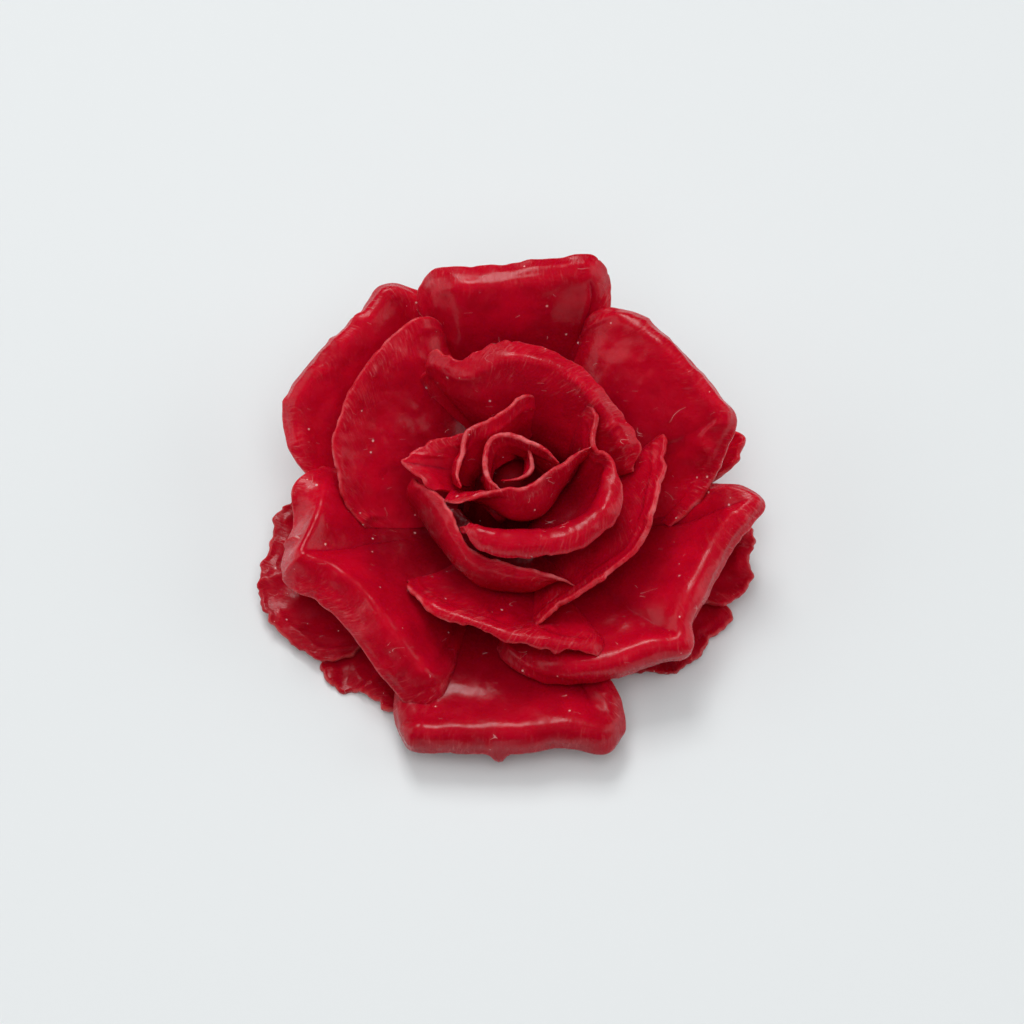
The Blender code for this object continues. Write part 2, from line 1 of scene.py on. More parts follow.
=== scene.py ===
"""Looks of the rose bloom dipped in wax, on the frame of its CAD model.

Every petal and leaf is drawn as the CAD model draws it: a shell that starts on the hip, rises along
a blade to a crest and, on most petals, rolls over into a margin.  The shells are kept clear of each
other on a coarse grid.  Their moves are then spread over a fine grid, which gets wax of an uneven
thickness with round edges, bends, folds, lumps and nicks.

Lengths are millimetres and angles degrees.  The meshes are scaled to metres, and the studio is in
metres and watts.
"""
import math
from dataclasses import dataclass

import bpy
import numpy as np
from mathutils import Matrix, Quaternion, Vector
from mathutils.bvhtree import BVHTree


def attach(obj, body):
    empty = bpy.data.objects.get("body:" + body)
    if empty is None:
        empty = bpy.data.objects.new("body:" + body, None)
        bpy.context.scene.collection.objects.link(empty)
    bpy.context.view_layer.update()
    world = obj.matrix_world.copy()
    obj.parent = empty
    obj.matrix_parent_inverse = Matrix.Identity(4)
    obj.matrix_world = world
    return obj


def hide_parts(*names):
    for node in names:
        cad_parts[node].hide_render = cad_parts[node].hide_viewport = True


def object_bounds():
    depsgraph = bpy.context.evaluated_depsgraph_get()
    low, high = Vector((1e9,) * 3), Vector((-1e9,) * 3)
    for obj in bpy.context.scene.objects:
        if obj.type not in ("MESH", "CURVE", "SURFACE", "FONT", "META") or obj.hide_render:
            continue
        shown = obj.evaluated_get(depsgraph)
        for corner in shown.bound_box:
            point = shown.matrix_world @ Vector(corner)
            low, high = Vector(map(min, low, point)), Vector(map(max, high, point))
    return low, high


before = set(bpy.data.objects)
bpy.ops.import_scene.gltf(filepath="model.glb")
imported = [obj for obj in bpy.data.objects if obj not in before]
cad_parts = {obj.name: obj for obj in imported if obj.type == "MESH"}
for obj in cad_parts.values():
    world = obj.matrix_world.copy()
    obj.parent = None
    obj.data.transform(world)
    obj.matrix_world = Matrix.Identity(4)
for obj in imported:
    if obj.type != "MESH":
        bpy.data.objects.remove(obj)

CAD_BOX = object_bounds()

MM = 0.001
UP = Vector((0.0, 0.0, 1.0))

# Driving dimensions.
WAX_PETAL = 1.0         # thickness of a petal with its wax
WAX_LEAF = 0.9          # thickness of a collar leaf with its wax
CLEARANCE = 0.32        # room between two pieces
STUB_RADIUS = 4.0       # cut stem under the hip
STUB_HEIGHT = 1.5
HIP_RADIUS = 9.0        # widest part of the hip
HIP_WAIST = 6.0         # height of the widest part
HIP_DOME = 16.0         # height of the dome above that
COLLAR_SEAT = 104.0     # seat of the collar leaves, just under the widest part

# Resolution of the shells.
COLUMNS = 15
ROWS = 9
TURN_WEIGHT = 3.0       # how strongly grid lines gather where a curve bends, in mm per radian
MILD_FLARE = 40.0       # flares between which a blade takes on its shell's fullness
STEEP_FLARE = 100.0
SKIRT_FADE = 6          # how late a straight margin shortens towards its ends
CURVE_STEPS = 16        # samples on each stretch of a curve before grid lines are placed on it

# Moving the shells clear of each other.
SEARCH = 2.5            # how deep inside a neighbour a place may start
ROLLED = 5.0            # downward slope past which a margin counts as rolled over
LONGEST_PUSH = 0.8      # largest step in one pass
FACING = 0.8            # share of a distance that lies along the normal of a face that looks at a place
SMOOTHING = 0.3         # how far a move is drawn towards the moves around it
SMOOTH_PASSES = 24
PLAIN_PASSES = 10

# Resolution of the fine surfaces.
CREST_STEP = 1 / 14     # share of the crest over which its direction is taken
FINE_STEPS = 40         # samples on each stretch of a curve
FINE_COLUMNS = 104      # even columns and rows, with those of RIM_STEPS on top
FINE_ROWS = 50
FAIR_ROUNDS = 6         # smoothing of the fine grid
FUSE_REACH = 7.0        # how far from the side of a shell another one may lie for it to lean on it
FUSE_SHARE = 0.4        # share of the shell's width that bends for that
FUSE_TAPER = 2.6        # how far from there it thins out
FUSE_GRIP = 2.5         # how early a side that comes near is held in full
FUSE_ROUNDS = 12        # smoothing of that along the side
# Distances from an edge of the grid lines that round it.
RIM_STEPS = (0.75, 0.5, 0.3, 0.14, 0.04, 0.0)
LOWEST = 0.02           # how low the wax of a petal or leaf may come
UV_PER_MM = 0.01        # scale of the map of lengths
FIRST_SEED = 10         # of the noises on the first shell
SEEDS_PER_SHELL = 20
HIP_SIDES = 72
HIP_CONE_STEPS = 9
HIP_DOME_STEPS = 16
HIP_LUMP = 0.18

# The studio.
FLOOR_HALF = 3.0
LIGHT_AIM = (0.0, 0.0, 0.015)
LIGHTS = (              # name, place, size, power, and whether it shows in reflections
    ("top", (0.0, -0.05, 1.30), 1.30, 6.0, False),
    ("key", (-0.18, 0.70, 1.10), 0.50, 6.5, True),
    ("front", (0.0, -0.60, 1.20), 1.10, 5.0, False),
    ("left", (-1.20, 0.10, 0.55), 1.00, 3.6, True),
    ("right", (1.20, 0.10, 0.55), 1.00, 4.0, True),
)


@dataclass(frozen=True)
class Shell:
    """One petal or leaf.

    Each crest point is (azimuth, radius, height, flare, curl), counter-clockwise seen from above.
    Flare is the slope of the blade where its margin starts to roll.  Curl is the slope below the
    horizontal where the roll ends.  It is negative where the edge still rises, and below -flare
    the margin bends in towards the bud.  The point is the highest one of the margin there.
    """

    name: str
    crest: tuple
    seat: float             # place of the foot on the hip, from 0 at its top to 90 at its widest part
    claw: float             # width of the foot, as an angle on the hip
    lift: float             # slope of the blade where it leaves the hip
    roll: float = 1.5       # radius of the margin's roll
    skirt: float = 0.0      # straight length of the margin beyond the roll
    fullness: float = 1.0   # how far the blade bows between hip and crest where it is steep
    fan: float = 25.0       # how far the two sides of the blade first spread apart
    square: float = 0.6     # 0 rolls the margin straight away from the hip, 1 square to its edge
    wax: float = WAX_PETAL


BUD = (
    Shell("bud_petal_heart", (
        (-110, 2.2, 25, 85, -80), (-60, 2.6, 25.5, 85, -80), (-10, 2.8, 26, 85, -80),
        (40, 2.2, 26.5, 85, -80), (90, 1.6, 26, 85, -80)),
        seat=9, claw=160, lift=70),
    Shell("bud_petal_centre", (
        (11, 4.9, 27, 84, -80), (45, 4.1, 27.8, 84, -80), (92, 4.5, 28, 80, -76),
        (125, 5.3, 27.6, 80, -76), (145, 5.5, 27.3, 80, -76), (165, 5.0, 27, 82, -78),
        (195, 4.4, 26.6, 84, -80), (240, 3.4, 26.2, 88, -80)),
        seat=19, claw=150, lift=60),
    Shell("bud_petal_back", (
        (68, 12.2, 27.4, 52, -42), (80, 11.8, 27.8, 50, -40), (93, 10.3, 28, 50, -40),
        (110, 8.8, 27.8, 50, -40), (128, 8.7, 27.6, 50, -40), (145, 9.9, 27.4, 50, -40),
        (160, 10, 26.8, 52, -42), (174, 10, 26.4, 54, -44), (187, 9.7, 25.8, 60, -50)),
        seat=31, claw=110, lift=55, roll=1.0),
    Shell("bud_petal_front", (
        (207, 9.9, 25.8, 96, -90), (218, 8.7, 26.4, 106, -100), (234, 6.6, 27, 114, -108),
        (283, 5.6, 27.4, 118, -112), (331, 6, 28, 114, -108), (363, 7.8, 28, 104, -98),
        (371, 10, 28, 96, -90)),
        seat=31, claw=130, lift=10, fullness=2.2),
    Shell("bud_wrap_right", (
        (229, 12.6, 22.4, 86, -60), (237, 12.5, 23.4, 94, 0), (246, 12.6, 23.9, 100, 60),
        (258, 12.8, 24, 100, 75), (275, 13, 24, 100, 75), (294, 14.2, 24, 98, 75),
        (312, 15.4, 24, 96, 75), (327, 16.4, 24.4, 94, 70), (342, 16.8, 24.8, 92, 50),
        (353, 16.8, 25.4, 90, 10), (361, 16.2, 25.8, 90, -40), (366, 14.8, 26.3, 90, -60),
        (366.5, 13.2, 26.8, 90, -80), (371, 12.7, 27.2, 90, -80), (379, 13.5, 27.6, 84, -76),
        (390, 14.8, 28.2, 74, -66), (405, 14.8, 28, 66, -56)),
        seat=43, claw=90, lift=30, roll=2.3),
    Shell("bud_petal_left", (
        (146, 10.8, 23.6, 34, -24), (155, 13, 24.2, 24, -14), (164.5, 16, 24.4, 14, -4),
        (171.5, 18, 24.3, 10, 0), (176, 18.8, 24, 10, 0), (180.5, 17.4, 23.8, 14, -4),
        (186, 14.4, 23.4, 22, -12), (194, 12, 22.6, 30, -20)),
        seat=44, claw=50, lift=76, roll=1.0),
    Shell("bud_wrap_left", (
        (177, 16.4, 20, 76, -90), (181, 16.4, 21.6, 84, -120), (187, 15.6, 23.2, 92, -145),
        (194, 14.2, 24.2, 98, -155), (206, 13.1, 24.6, 100, -158), (220, 13, 24.2, 100, -158),
        (234, 13.7, 22.8, 100, -158), (248, 15, 21, 98, -156), (265, 15.2, 20.6, 96, -154),
        (282, 15.8, 20.2, 88, -140), (292, 16.8, 19.4, 76, -110), (299, 18.2, 18, 62, -70)),
        seat=57, claw=76, lift=-10, roll=3.0, fullness=2.6, fan=30, square=0.0),
)

MIDDLE = (
    Shell("middle_petal_back", (
        (4, 18.6, 22.2, 50, -12), (14, 18, 25.4, 50, 10), (35, 15.9, 28.4, 50, 12),
        (52, 16.1, 30.2, 48, 12), (72, 16.8, 31.2, 46, 12), (93, 17.6, 31.2, 46, 10),
        (106, 17, 30.2, 46, 6), (116, 16.8, 29.2, 44, 0), (121.5, 18, 28.6, 42, -12),
        (125, 21, 28, 38, -24), (127, 23.2, 26.6, 36, -28), (132, 22.6, 22.4, 36, -28)),
        seat=60, claw=76, lift=76, roll=1.2, skirt=3.0),
    Shell("middle_petal_right", (
        (277, 22.8, 14.2, 44, -38), (286, 22, 16.4, 50, -30), (310, 22, 18, 54, -44),
        (332, 23.8, 20, 54, -44), (350, 24, 22.5, 54, -44), (362, 24.4, 24, 56, -46),
        (373, 25, 25, 56, -46), (378, 23.6, 21.5, 60, -54)),
        seat=70, claw=62, lift=45),
    Shell("middle_petal_front", (
        (216, 21.5, 12.4, 44, -34), (224, 23.4, 14.4, 46, -20), (235, 24.6, 15.2, 50, 20),
        (244, 24.9, 15.8, 52, 55), (258, 25.3, 16.1, 50, 60), (271, 26.9, 16.1, 48, 60),
        (284, 28, 16, 46, 60), (297, 30, 15.7, 42, 55), (301.5, 30.2, 14.6, 36, 0)),
        seat=75, claw=40, lift=4, roll=0.8, skirt=0.3),
)

OUTER = (
    Shell("outer_petal_left_inner", (
        (115, 29.6, 24.8, 44, -35), (117.5, 31.2, 26.8, 42, -25), (122, 31.8, 27.8, 40, -15),
        (131, 32, 27.2, 40, -10), (143, 31.8, 25.4, 40, -10), (156.5, 31.8, 22.8, 38, -10),
        (166.5, 31.4, 20.4, 38, -10), (173, 30.2, 18.6, 36, -15), (182, 28, 16.2, 36, -25),
        (190, 25, 13, 34, -30)),
        seat=71, claw=50, lift=4, roll=3.0),
    Shell("outer_petal_right_back", (
        (-5, 26, 11, 30, -25), (2, 29, 13, 34, -15), (8, 31.6, 16, 38, 5), (11.5, 33, 19.4, 42, 25),
        (14.5, 34.8, 22.4, 44, 42), (17.5, 36, 24, 44, 50), (21, 35.2, 25, 44, 50),
        (27, 34.4, 26.2, 44, 50), (36, 33.4, 27.4, 44, 50), (46, 32.8, 28.2, 44, 48),
        (56, 32.4, 28.2, 44, 40), (62, 31.6, 26.6, 44, 0), (67, 30.4, 23.6, 46, -36)),
        seat=75, claw=50, lift=45, roll=1.3, skirt=2.4),
    Shell("outer_petal_left_front", (
        (168, 29, 18, 36, -25), (178, 30, 20, 34, 0), (187, 31, 19.6, 32, 45), (194, 34, 18.4, 30, 55),
        (199, 36.6, 17.2, 30, 60), (204, 33.4, 16.4, 30, 52), (217, 30.6, 15.4, 30, 50),
        (230, 31.6, 14.2, 30, 50), (238, 33.2, 13, 30, 52), (243.5, 34, 12.2, 28, 50),
        (246.5, 33, 10.8, 26, 35), (250, 29.6, 9, 20, -5)),
        seat=80, claw=44, lift=8, roll=0.9, skirt=6.4),
    Shell("outer_petal_right_front", (
        (262, 24, 8.6, 20, 0), (270, 26.6, 10.4, 26, 25), (280, 29.2, 11.8, 30, 60),
        (290, 31.4, 12.8, 34, 85), (301, 33.1, 13, 34, 95), (311, 35, 13.5, 36, 95),
        (316.5, 37.2, 13.3, 36, 95), (321, 34.8, 14, 36, 95), (328, 33.8, 15, 36, 80),
        (340, 33.6, 15, 38, 60), (348, 34.8, 16, 38, 55), (354, 37, 17.4, 38, 55),
        (357.5, 38.8, 17.8, 38, 50), (361, 36, 17, 36, 20), (366, 32, 14, 34, -20),
        (370, 29, 11, 30, -26)),
        seat=80, claw=56, lift=14, roll=1.8, skirt=2.2, square=0.4),
    Shell("outer_petal_back", (
        (60, 32, 22.4, 54, -40), (65, 34.4, 27.4, 52, -10), (68.5, 35, 31.8, 50, 4),
        (72, 34.9, 34, 50, 8), (79, 33.2, 33.8, 50, 8), (88.5, 31.6, 33.2, 50, 8),
        (100, 31.6, 32.6, 50, 8), (109, 33, 32.2, 50, 8), (113, 33.8, 30.4, 50, 4),
        (116.5, 34.4, 26.6, 52, -10), (121, 32.8, 22, 54, -40)),
        seat=80, claw=56, lift=18, roll=1.4, skirt=3.8, fan=12, square=0.2),
    Shell("outer_petal_front", (
        (237, 31, 5.2, 12, 0), (241, 36, 6.2, 20, 40), (245, 40, 7.6, 26, 65), (248.5, 42.2, 8.7, 28, 75),
        (256, 41, 9, 28, 75), (270, 39.9, 9, 28, 75), (284, 39.9, 9, 28, 75), (289, 41.6, 8.6, 28, 75),
        (292, 40.4, 7.8, 26, 65), (294, 37, 7.2, 20, 35), (297, 32, 6.6, 12, 0)),
        seat=86, claw=32, lift=-6, roll=1.8, skirt=3.0),
    Shell("outer_petal_left_back", (
        (112, 34.4, 21.5, 42, -35), (117, 36.6, 25.8, 42, 10), (123, 38.8, 27, 42, 45),
        (131, 37.8, 26, 40, 45), (140, 38.2, 24.2, 40, 45), (149, 39.2, 21.8, 40, 45),
        (156, 40.2, 19.4, 40, 45), (160, 39, 17.6, 38, 45), (165.5, 36.6, 15.3, 36, 30),
        (171, 34.2, 13.2, 34, 0), (177, 31.4, 11, 30, -25)),
        seat=86, claw=38, lift=24, roll=1.4, skirt=2.4),
)


def leaf(name, crest, **shape):
    """A collar leaf.  Its margin doesn't roll, so its crest points are given without their curl."""
    crest = tuple((*point, -point[3]) for point in crest)
    return Shell(name, crest, seat=COLLAR_SEAT, wax=WAX_LEAF, **shape)


COLLAR = (
    leaf("collar_leaf_right_back", (
        (9, 28, 7, 14), (11, 34.4, 9.5, 24), (14, 39.4, 11.4, 32), (18, 41.2, 12, 34),
        (22, 40.2, 12.4, 34), (27, 36.4, 11, 28), (33, 32, 8, 18)),
        claw=20, lift=-4, fan=10),
    leaf("collar_leaf_right", (
        (335, 34, 4, 4), (338, 38.8, 4.4, 8), (345, 41.4, 5, 10), (350, 40.4, 5.8, 12),
        (355, 41.2, 6.2, 14), (360, 39.6, 6.4, 14), (365, 37, 6, 10), (368, 31, 5, 4)),
        claw=18, lift=4),
    leaf("collar_leaf_left", (
        (162, 33, 5, 0), (172, 37, 6, 8), (178, 41.3, 5.5, 10), (183, 41, 4.5, 8), (190, 43.8, 3.8, 6),
        (200, 45.4, 3, 4), (208, 43.6, 2.4, 2), (216, 41.4, 2.2, 0), (221, 36, 2.2, 0)),
        claw=34, lift=0),
    leaf("collar_leaf_left_front", (
        (214, 34, 0.6, 0), (217, 40.5, 0.6, 0), (224, 41.8, 0.6, 0), (230, 39, 1, 4), (238, 39.4, 1.6, 8),
        (243, 37.5, 1.6, 8), (247, 31, 1.2, 0)),
        claw=18, lift=-24, fan=10),
    leaf("collar_leaf_right_front", (
        (296, 26, 0.6, 0), (302, 30.5, 0.6, 0), (309, 33, 0.6, 0), (316, 37, 1, 2), (321, 38.6, 1.4, 4),
        (329, 38.8, 1.6, 4), (338, 39.6, 2, 4), (343, 35, 1.6, 0)),
        claw=22, lift=-24, fan=10),
    leaf("collar_leaf_back", (
        (48, 28, 1, 0), (54, 34, 0.6, 0), (64, 36.5, 0.6, 0), (75, 35.4, 1, 2), (86, 37.6, 0.8, 0),
        (97, 35.6, 0.6, 0), (104, 30, 1, 0)),
        claw=50, lift=-12, fan=50),
    leaf("collar_leaf_left_back", (
        (112, 29, 1, 0), (117, 35, 0.6, 0), (126, 38, 0.6, 0), (136, 36.6, 1.4, 4), (146, 38.6, 1.8, 6),
        (154, 36.4, 2.2, 6), (158, 31, 2.2, 2)),
        claw=42, lift=-12, fan=50),
)


def polar(azimuth, radius, height):
    """Point at an azimuth in degrees, a radius and a height."""
    angle = math.radians(azimuth)
    return Vector((radius * math.cos(angle), radius * math.sin(angle), height))


def slope_vector(outward, slope):
    """Unit vector that rises by slope degrees while it runs along the horizontal unit outward."""
    angle = math.radians(slope)
    return outward * math.cos(angle) + UP * math.sin(angle)


def hip_surface(seat):
    """Radius and height of a place on the hip, and the upward slope of the line square to it."""
    if seat <= 90.0:
        sine, cosine = math.sin(math.radians(seat)), math.cos(math.radians(seat))
        slope = math.atan2(cosine * HIP_RADIUS, sine * HIP_DOME)
        return HIP_RADIUS * sine, HIP_WAIST + HIP_DOME * cosine, slope
    cone_r = HIP_RADIUS - STUB_RADIUS
    cone_z = HIP_WAIST - STUB_HEIGHT
    share = seat / 90.0 - 1.0
    return HIP_RADIUS - cone_r * share, HIP_WAIST - cone_z * share, -math.atan2(cone_r, cone_z)


def foot_point(shell, azimuth):
    """Where the middle of a shell's thickness meets the hip, with room between the two."""
    radius, height, slope = hip_surface(shell.seat)
    offset = CLEARANCE + 0.45 * shell.wax
    return polar(azimuth, radius + offset * math.cos(slope), height + offset * math.sin(slope))


def catmull_rom(points, steps):
    """Samples of a smooth curve through points, which are tuples of any length.

    The first three numbers of a point are its place, and their distances pace the curve.
    """
    ends = [tuple(2 * a - b for a, b in zip(points[0], points[1]))]
    ends.append(tuple(2 * a - b for a, b in zip(points[-1], points[-2])))
    chain = [ends[0], *points, ends[1]]
    knots = [0.0]
    for before, after in zip(chain, chain[1:]):
        knots.append(knots[-1] + max(math.dist(before[:3], after[:3]), 1e-6) ** 0.5)

    def between(p, q, start, stop, t):
        share = (t - start) / (stop - start)
        return tuple(a + (b - a) * share for a, b in zip(p, q))

    samples = []
    for i in range(1, len(chain) - 2):
        for step in range(steps + (i == len(chain) - 3)):
            t = knots[i] + (knots[i + 1] - knots[i]) * step / steps
            a1 = between(chain[i - 1], chain[i], knots[i - 1], knots[i], t)
            a2 = between(chain[i], chain[i + 1], knots[i], knots[i + 1], t)
            a3 = between(chain[i + 1], chain[i + 2], knots[i + 1], knots[i + 2], t)
            b1 = between(a1, a2, knots[i - 1], knots[i + 1], t)
            b2 = between(a2, a3, knots[i], knots[i + 2], t)
            samples.append(between(b1, b2, knots[i], knots[i + 1], t))
    return samples


def weigh(samples):
    """Samples as an array, with the length up to each and that length made longer by the turns."""
    values = np.array(samples)
    legs = np.diff(values[:, :3], axis=0)
    lengths = np.linalg.norm(legs, axis=1)
    directions = legs / np.maximum(lengths, 1e-9)[:, None]
    cosines = np.clip(np.sum(directions[1:] * directions[:-1], axis=1), -1.0, 1.0)
    turns = np.concatenate(([0.0], np.arccos(cosines)))
    length = np.concatenate(([0.0], np.cumsum(lengths)))
    way = np.concatenate(([0.0], np.cumsum(lengths + TURN_WEIGHT * turns)))
    return values, length, way / way[-1]


def spread(samples, shares):
    """Picks points along a sampled curve at shares of its way, which is longer where it bends."""
    values, _, way = weigh(samples)
    return np.stack([np.interp(shares, way, column) for column in values.T], axis=1)


def rim_shares(samples, count, both_ends):
    """Even shares of a curve, with extra ones close to its end, or to both ends, for round rims."""
    _, length, way = weigh(samples)
    close = np.interp(length[-1] - np.array(RIM_STEPS), length, way)
    first = 0.0
    start = np.array([0.0])
    if both_ends:
        start = np.interp(np.array(RIM_STEPS[::-1]), length, way)
        first = start[-1]
        start = start[:-1]
    return np.concatenate((start, np.linspace(first, close[0], count), close[1:]))


def hermite(start, leave, end, arrive, steps):
    """Samples of a curve between two places with given tangent vectors, without the last one."""
    samples = []
    for step in range(steps):
        t = step / steps
        samples.append(
            start * (2 * t ** 3 - 3 * t ** 2 + 1) + leave * (t ** 3 - 2 * t ** 2 + t)
            + end * (3 * t ** 2 - 2 * t ** 3) + arrive * (t ** 3 - t ** 2))
    return samples


def profile(shell, crest, foot, outward, share, steps):
    """Samples from the foot to the free edge of one column of a shell, as (x, y, z, rolled).

    Share runs from 0 at the first side of the shell to 1 at the last.  Rolled is 1 where the
    margin has turned over and runs down, and 0 before that.
    """
    flare, curl = crest[3], crest[4]
    top_slope = max(0.0, -curl)
    peak = Vector(crest[:3])
    radius = math.copysign(shell.roll, flare + curl)

    def on_roll(slope):
        run = math.sin(math.radians(top_slope)) - math.sin(math.radians(slope))
        rise = math.cos(math.radians(slope)) - math.cos(math.radians(top_slope))
        return peak + outward * radius * run + UP * radius * rise

    blade_end = on_roll(flare)
    steep = min(1.0, max(0.0, (flare - MILD_FLARE) / (STEEP_FLARE - MILD_FLARE)))
    reach = (blade_end - foot).length * (1.0 + (shell.fullness - 1.0) * steep)
    run = Vector((blade_end.x - foot.x, blade_end.y - foot.y, 0.0)).normalized()
    arrive = slope_vector((run + outward * shell.square).normalized(), flare) * reach
    run.rotate(Quaternion(UP, math.radians(shell.fan) * (2 * share - 1)))
    leave = slope_vector(run, shell.lift) * reach
    blade = hermite(foot, leave, blade_end, arrive, steps)
    samples = [(*place, 0.0) for place in blade]
    for step in range(steps + 1):
        slope = flare - (flare + curl) * step / steps
        samples.append((*on_roll(slope), float(slope < -ROLLED)))
    skirt = shell.skirt * (1.0 - abs(2 * share - 1) ** SKIRT_FADE)
    if skirt > 0.0:
        edge = Vector(samples[-1][:3]) + slope_vector(outward, -curl) * skirt
        samples.append((*edge, samples[-1][3]))
    return samples


def crest_columns(shell, shares, steps):
    """For each share of a shell's crest: its samples from foot to edge."""
    cells = [(*polar(*point[:3]), *point[3:]) for point in shell.crest]
    samples = catmull_rom(cells, steps)
    crest = spread(samples, shares)
    first, last = shell.crest[0][0], shell.crest[-1][0]
    centre = (first + last) / 2
    ahead = spread(samples, np.minimum(shares + CREST_STEP, 1.0))
    behind = spread(samples, np.maximum(shares - CREST_STEP, 0.0))
    columns = []
    for point, share, after, before in zip(crest, shares, ahead, behind):
        foot = foot_point(shell, centre + (share - 0.5) * shell.claw)
        along = after - before
        square = Vector((along[1], -along[0], 0.0)).normalized()
        away = Vector((point[0] - foot.x, point[1] - foot.y, 0.0)).normalized()
        outward = (square * shell.square + away * (1 - shell.square)).normalized()
        columns.append(profile(shell, point, foot, outward, share, steps))
    return columns


def coarse_surface(shell):
    """Grid of places halfway through the shell's thickness, [column][row from foot to edge].

    The second result tells for each of them whether the margin has rolled over there.
    """
    columns = crest_columns(shell, np.linspace(0.0, 1.0, COLUMNS), CURVE_STEPS)
    grid = []
    rolled = []
    for samples in columns:
        column = spread(samples, np.linspace(0.0, 1.0, ROWS))
        grid.append([Vector(place[:3]) for place in column])
        rolled.append([place[3] > 0.5 for place in column])
    return grid, rolled


def grid_tree(grid):
    """Search tree over the triangles of a grid, with its normals on the outer side."""
    columns, rows = len(grid), len(grid[0])
    places = [place for line in grid for place in line]
    faces = []
    for i in range(columns - 1):
        for j in range(rows - 1):
            a, b = i * rows + j, (i + 1) * rows + j
            faces.append((a, b, b + 1))
            faces.append((a, b + 1, a + 1))
    return BVHTree.FromPolygons(places, faces)


def probe_corners(columns, rows):
    """Corner lists whose means probe a grid: its places and the middles of its edges and faces."""
    probes = []
    for i in range(columns):
        for j in range(1, rows):
            probes.append(((i, j),))
            if i + 1 < columns:
                probes.append(((i, j), (i + 1, j)))
            if j + 1 < rows:
                probes.append(((i, j), (i, j + 1)))
            if i + 1 < columns and j + 1 < rows:
                probes.append(((i, j), (i + 1, j + 1)))
    return probes


def probe_places(grid, probes):
    """The place of every probe on a grid."""
    return [sum((grid[i][j] for i, j in corners), Vector()) / len(corners) for corners in probes]


def face_cell(face, rows):
    """Column and row of the cell that a triangle of grid_tree belongs to."""
    return divmod(face // 2, rows - 1)


def outward_pushes(grid, rolled, wax, placed):
    """How far each place of a grid has to move to clear the shells in placed, by column and row."""
    columns, rows = len(grid), len(grid[0])
    pushes = [[Vector() for _ in range(rows)] for _ in range(columns)]

    def ask(corners, direction, lack):
        for i, j in corners:
            if j > 0 and lack > pushes[i][j].length:
                pushes[i][j] = direction * min(lack, LONGEST_PUSH)

    own_tree = grid_tree(grid)
    probes = probe_corners(columns, rows)
    places = probe_places(grid, probes)
    for other_places, other_rolled, tree, other_wax in placed:
        room = (wax + other_wax) / 2 + CLEARANCE
        for corners, place in zip(probes, places):
            near, normal, face, distance = tree.find_nearest(place, room + SEARCH)
            if near is None:
                continue
            i, j = face_cell(face, rows)
            side = (place - near).dot(normal)
            if abs(side) <= FACING * distance:
                away = (place - near + normal * (room / 2)).normalized()
                ask(corners, away, room - distance)
            elif side < 0.0 and other_rolled[i][j + 1]:
                ask(corners, -normal, room + side)
            else:
                ask(corners, normal, room - side)
        for place in other_places:
            near, normal, face, distance = own_tree.find_nearest(place, room)
            if near is None:
                continue
            i, j = face_cell(face, rows)
            corners = ((i, j), (i + 1, j), (i, j + 1), (i + 1, j + 1))
            side = (near - place).dot(normal)
            if side < 0.0 and rolled[i][j + 1]:
                normal, side = -normal, -side
            if side > FACING * distance:
                ask(corners, normal, room - side)
    return pushes


def smoothed(moves):
    """Moves of a grid, each drawn towards those around it.  The foot of the grid stays."""
    columns, rows = len(moves), len(moves[0])
    result = [line[:] for line in moves]
    for i in range(columns):
        for j in range(1, rows):
            around = [
                moves[k][m] for k, m in ((i - 1, j), (i + 1, j), (i, j - 1), (i, j + 1))
                if 0 <= k < columns and m < rows]
            mean = sum(around, Vector()) / len(around)
            result[i][j] = moves[i][j].lerp(mean, SMOOTHING)
    return result


def clear_of_hip(place, wax):
    """The place moved out of the hip's round body, and up from the surface below."""
    room = HIP_RADIUS + wax / 2 + CLEARANCE
    stretch = HIP_DOME / HIP_RADIUS
    away = Vector((place.x, place.y, max(place.z - HIP_WAIST, 0.0) / stretch))
    if away.length < room:
        away *= room / away.length
        place = Vector((away.x, away.y, min(place.z, HIP_WAIST) + away.z * stretch))
    return Vector((place.x, place.y, max(place.z, wax / 2)))


def keep_clear(grid, rolled, wax, placed):
    """Moves a grid outwards until it clears the hip and the shells that were placed before it."""
    columns, rows = len(grid), len(grid[0])
    moves = [[Vector() for _ in range(rows)] for _ in range(columns)]
    moved = grid
    for turn in range(SMOOTH_PASSES + PLAIN_PASSES):
        pushes = outward_pushes(moved, rolled, wax, placed)
        for i in range(columns):
            for j in range(1, rows):
                moves[i][j] = moves[i][j] + pushes[i][j]
        if turn < SMOOTH_PASSES:
            moves = smoothed(moves)
        moved = [line[:] for line in grid]
        for i in range(columns):
            for j in range(1, rows):
                moved[i][j] = clear_of_hip(grid[i][j] + moves[i][j], wax)
                moves[i][j] = moved[i][j] - grid[i][j]
    return moved, moves


@dataclass(frozen=True)
class Look:
    """How the wax lies on a group of shells, in millimetres."""

    blade: float            # thickness of the blade
    rim: float              # thickness at the free edge
    reach: float            # how far the thick rim reaches down
    wave: float             # how far the edge sways in and out
    wave_length: float
    jag: float              # how far the free edge runs unevenly
    jag_length: float
    nick: float             # depth of the nicks in the free edge
    lump: float             # height of the lumps in the wax
    crease: float           # share of the bends and folds in the sheet
    band: float             # width of the band along the free edge with painted sheen and brush lines
    painted_shade_from: float        # how far below the free edge the painted shade starts
    painted_shade_over: float        # length over which the painted shade deepens
    rib: float = 0.0        # height of the midrib and of the veins beside it
    slot: str = "petal_wax"


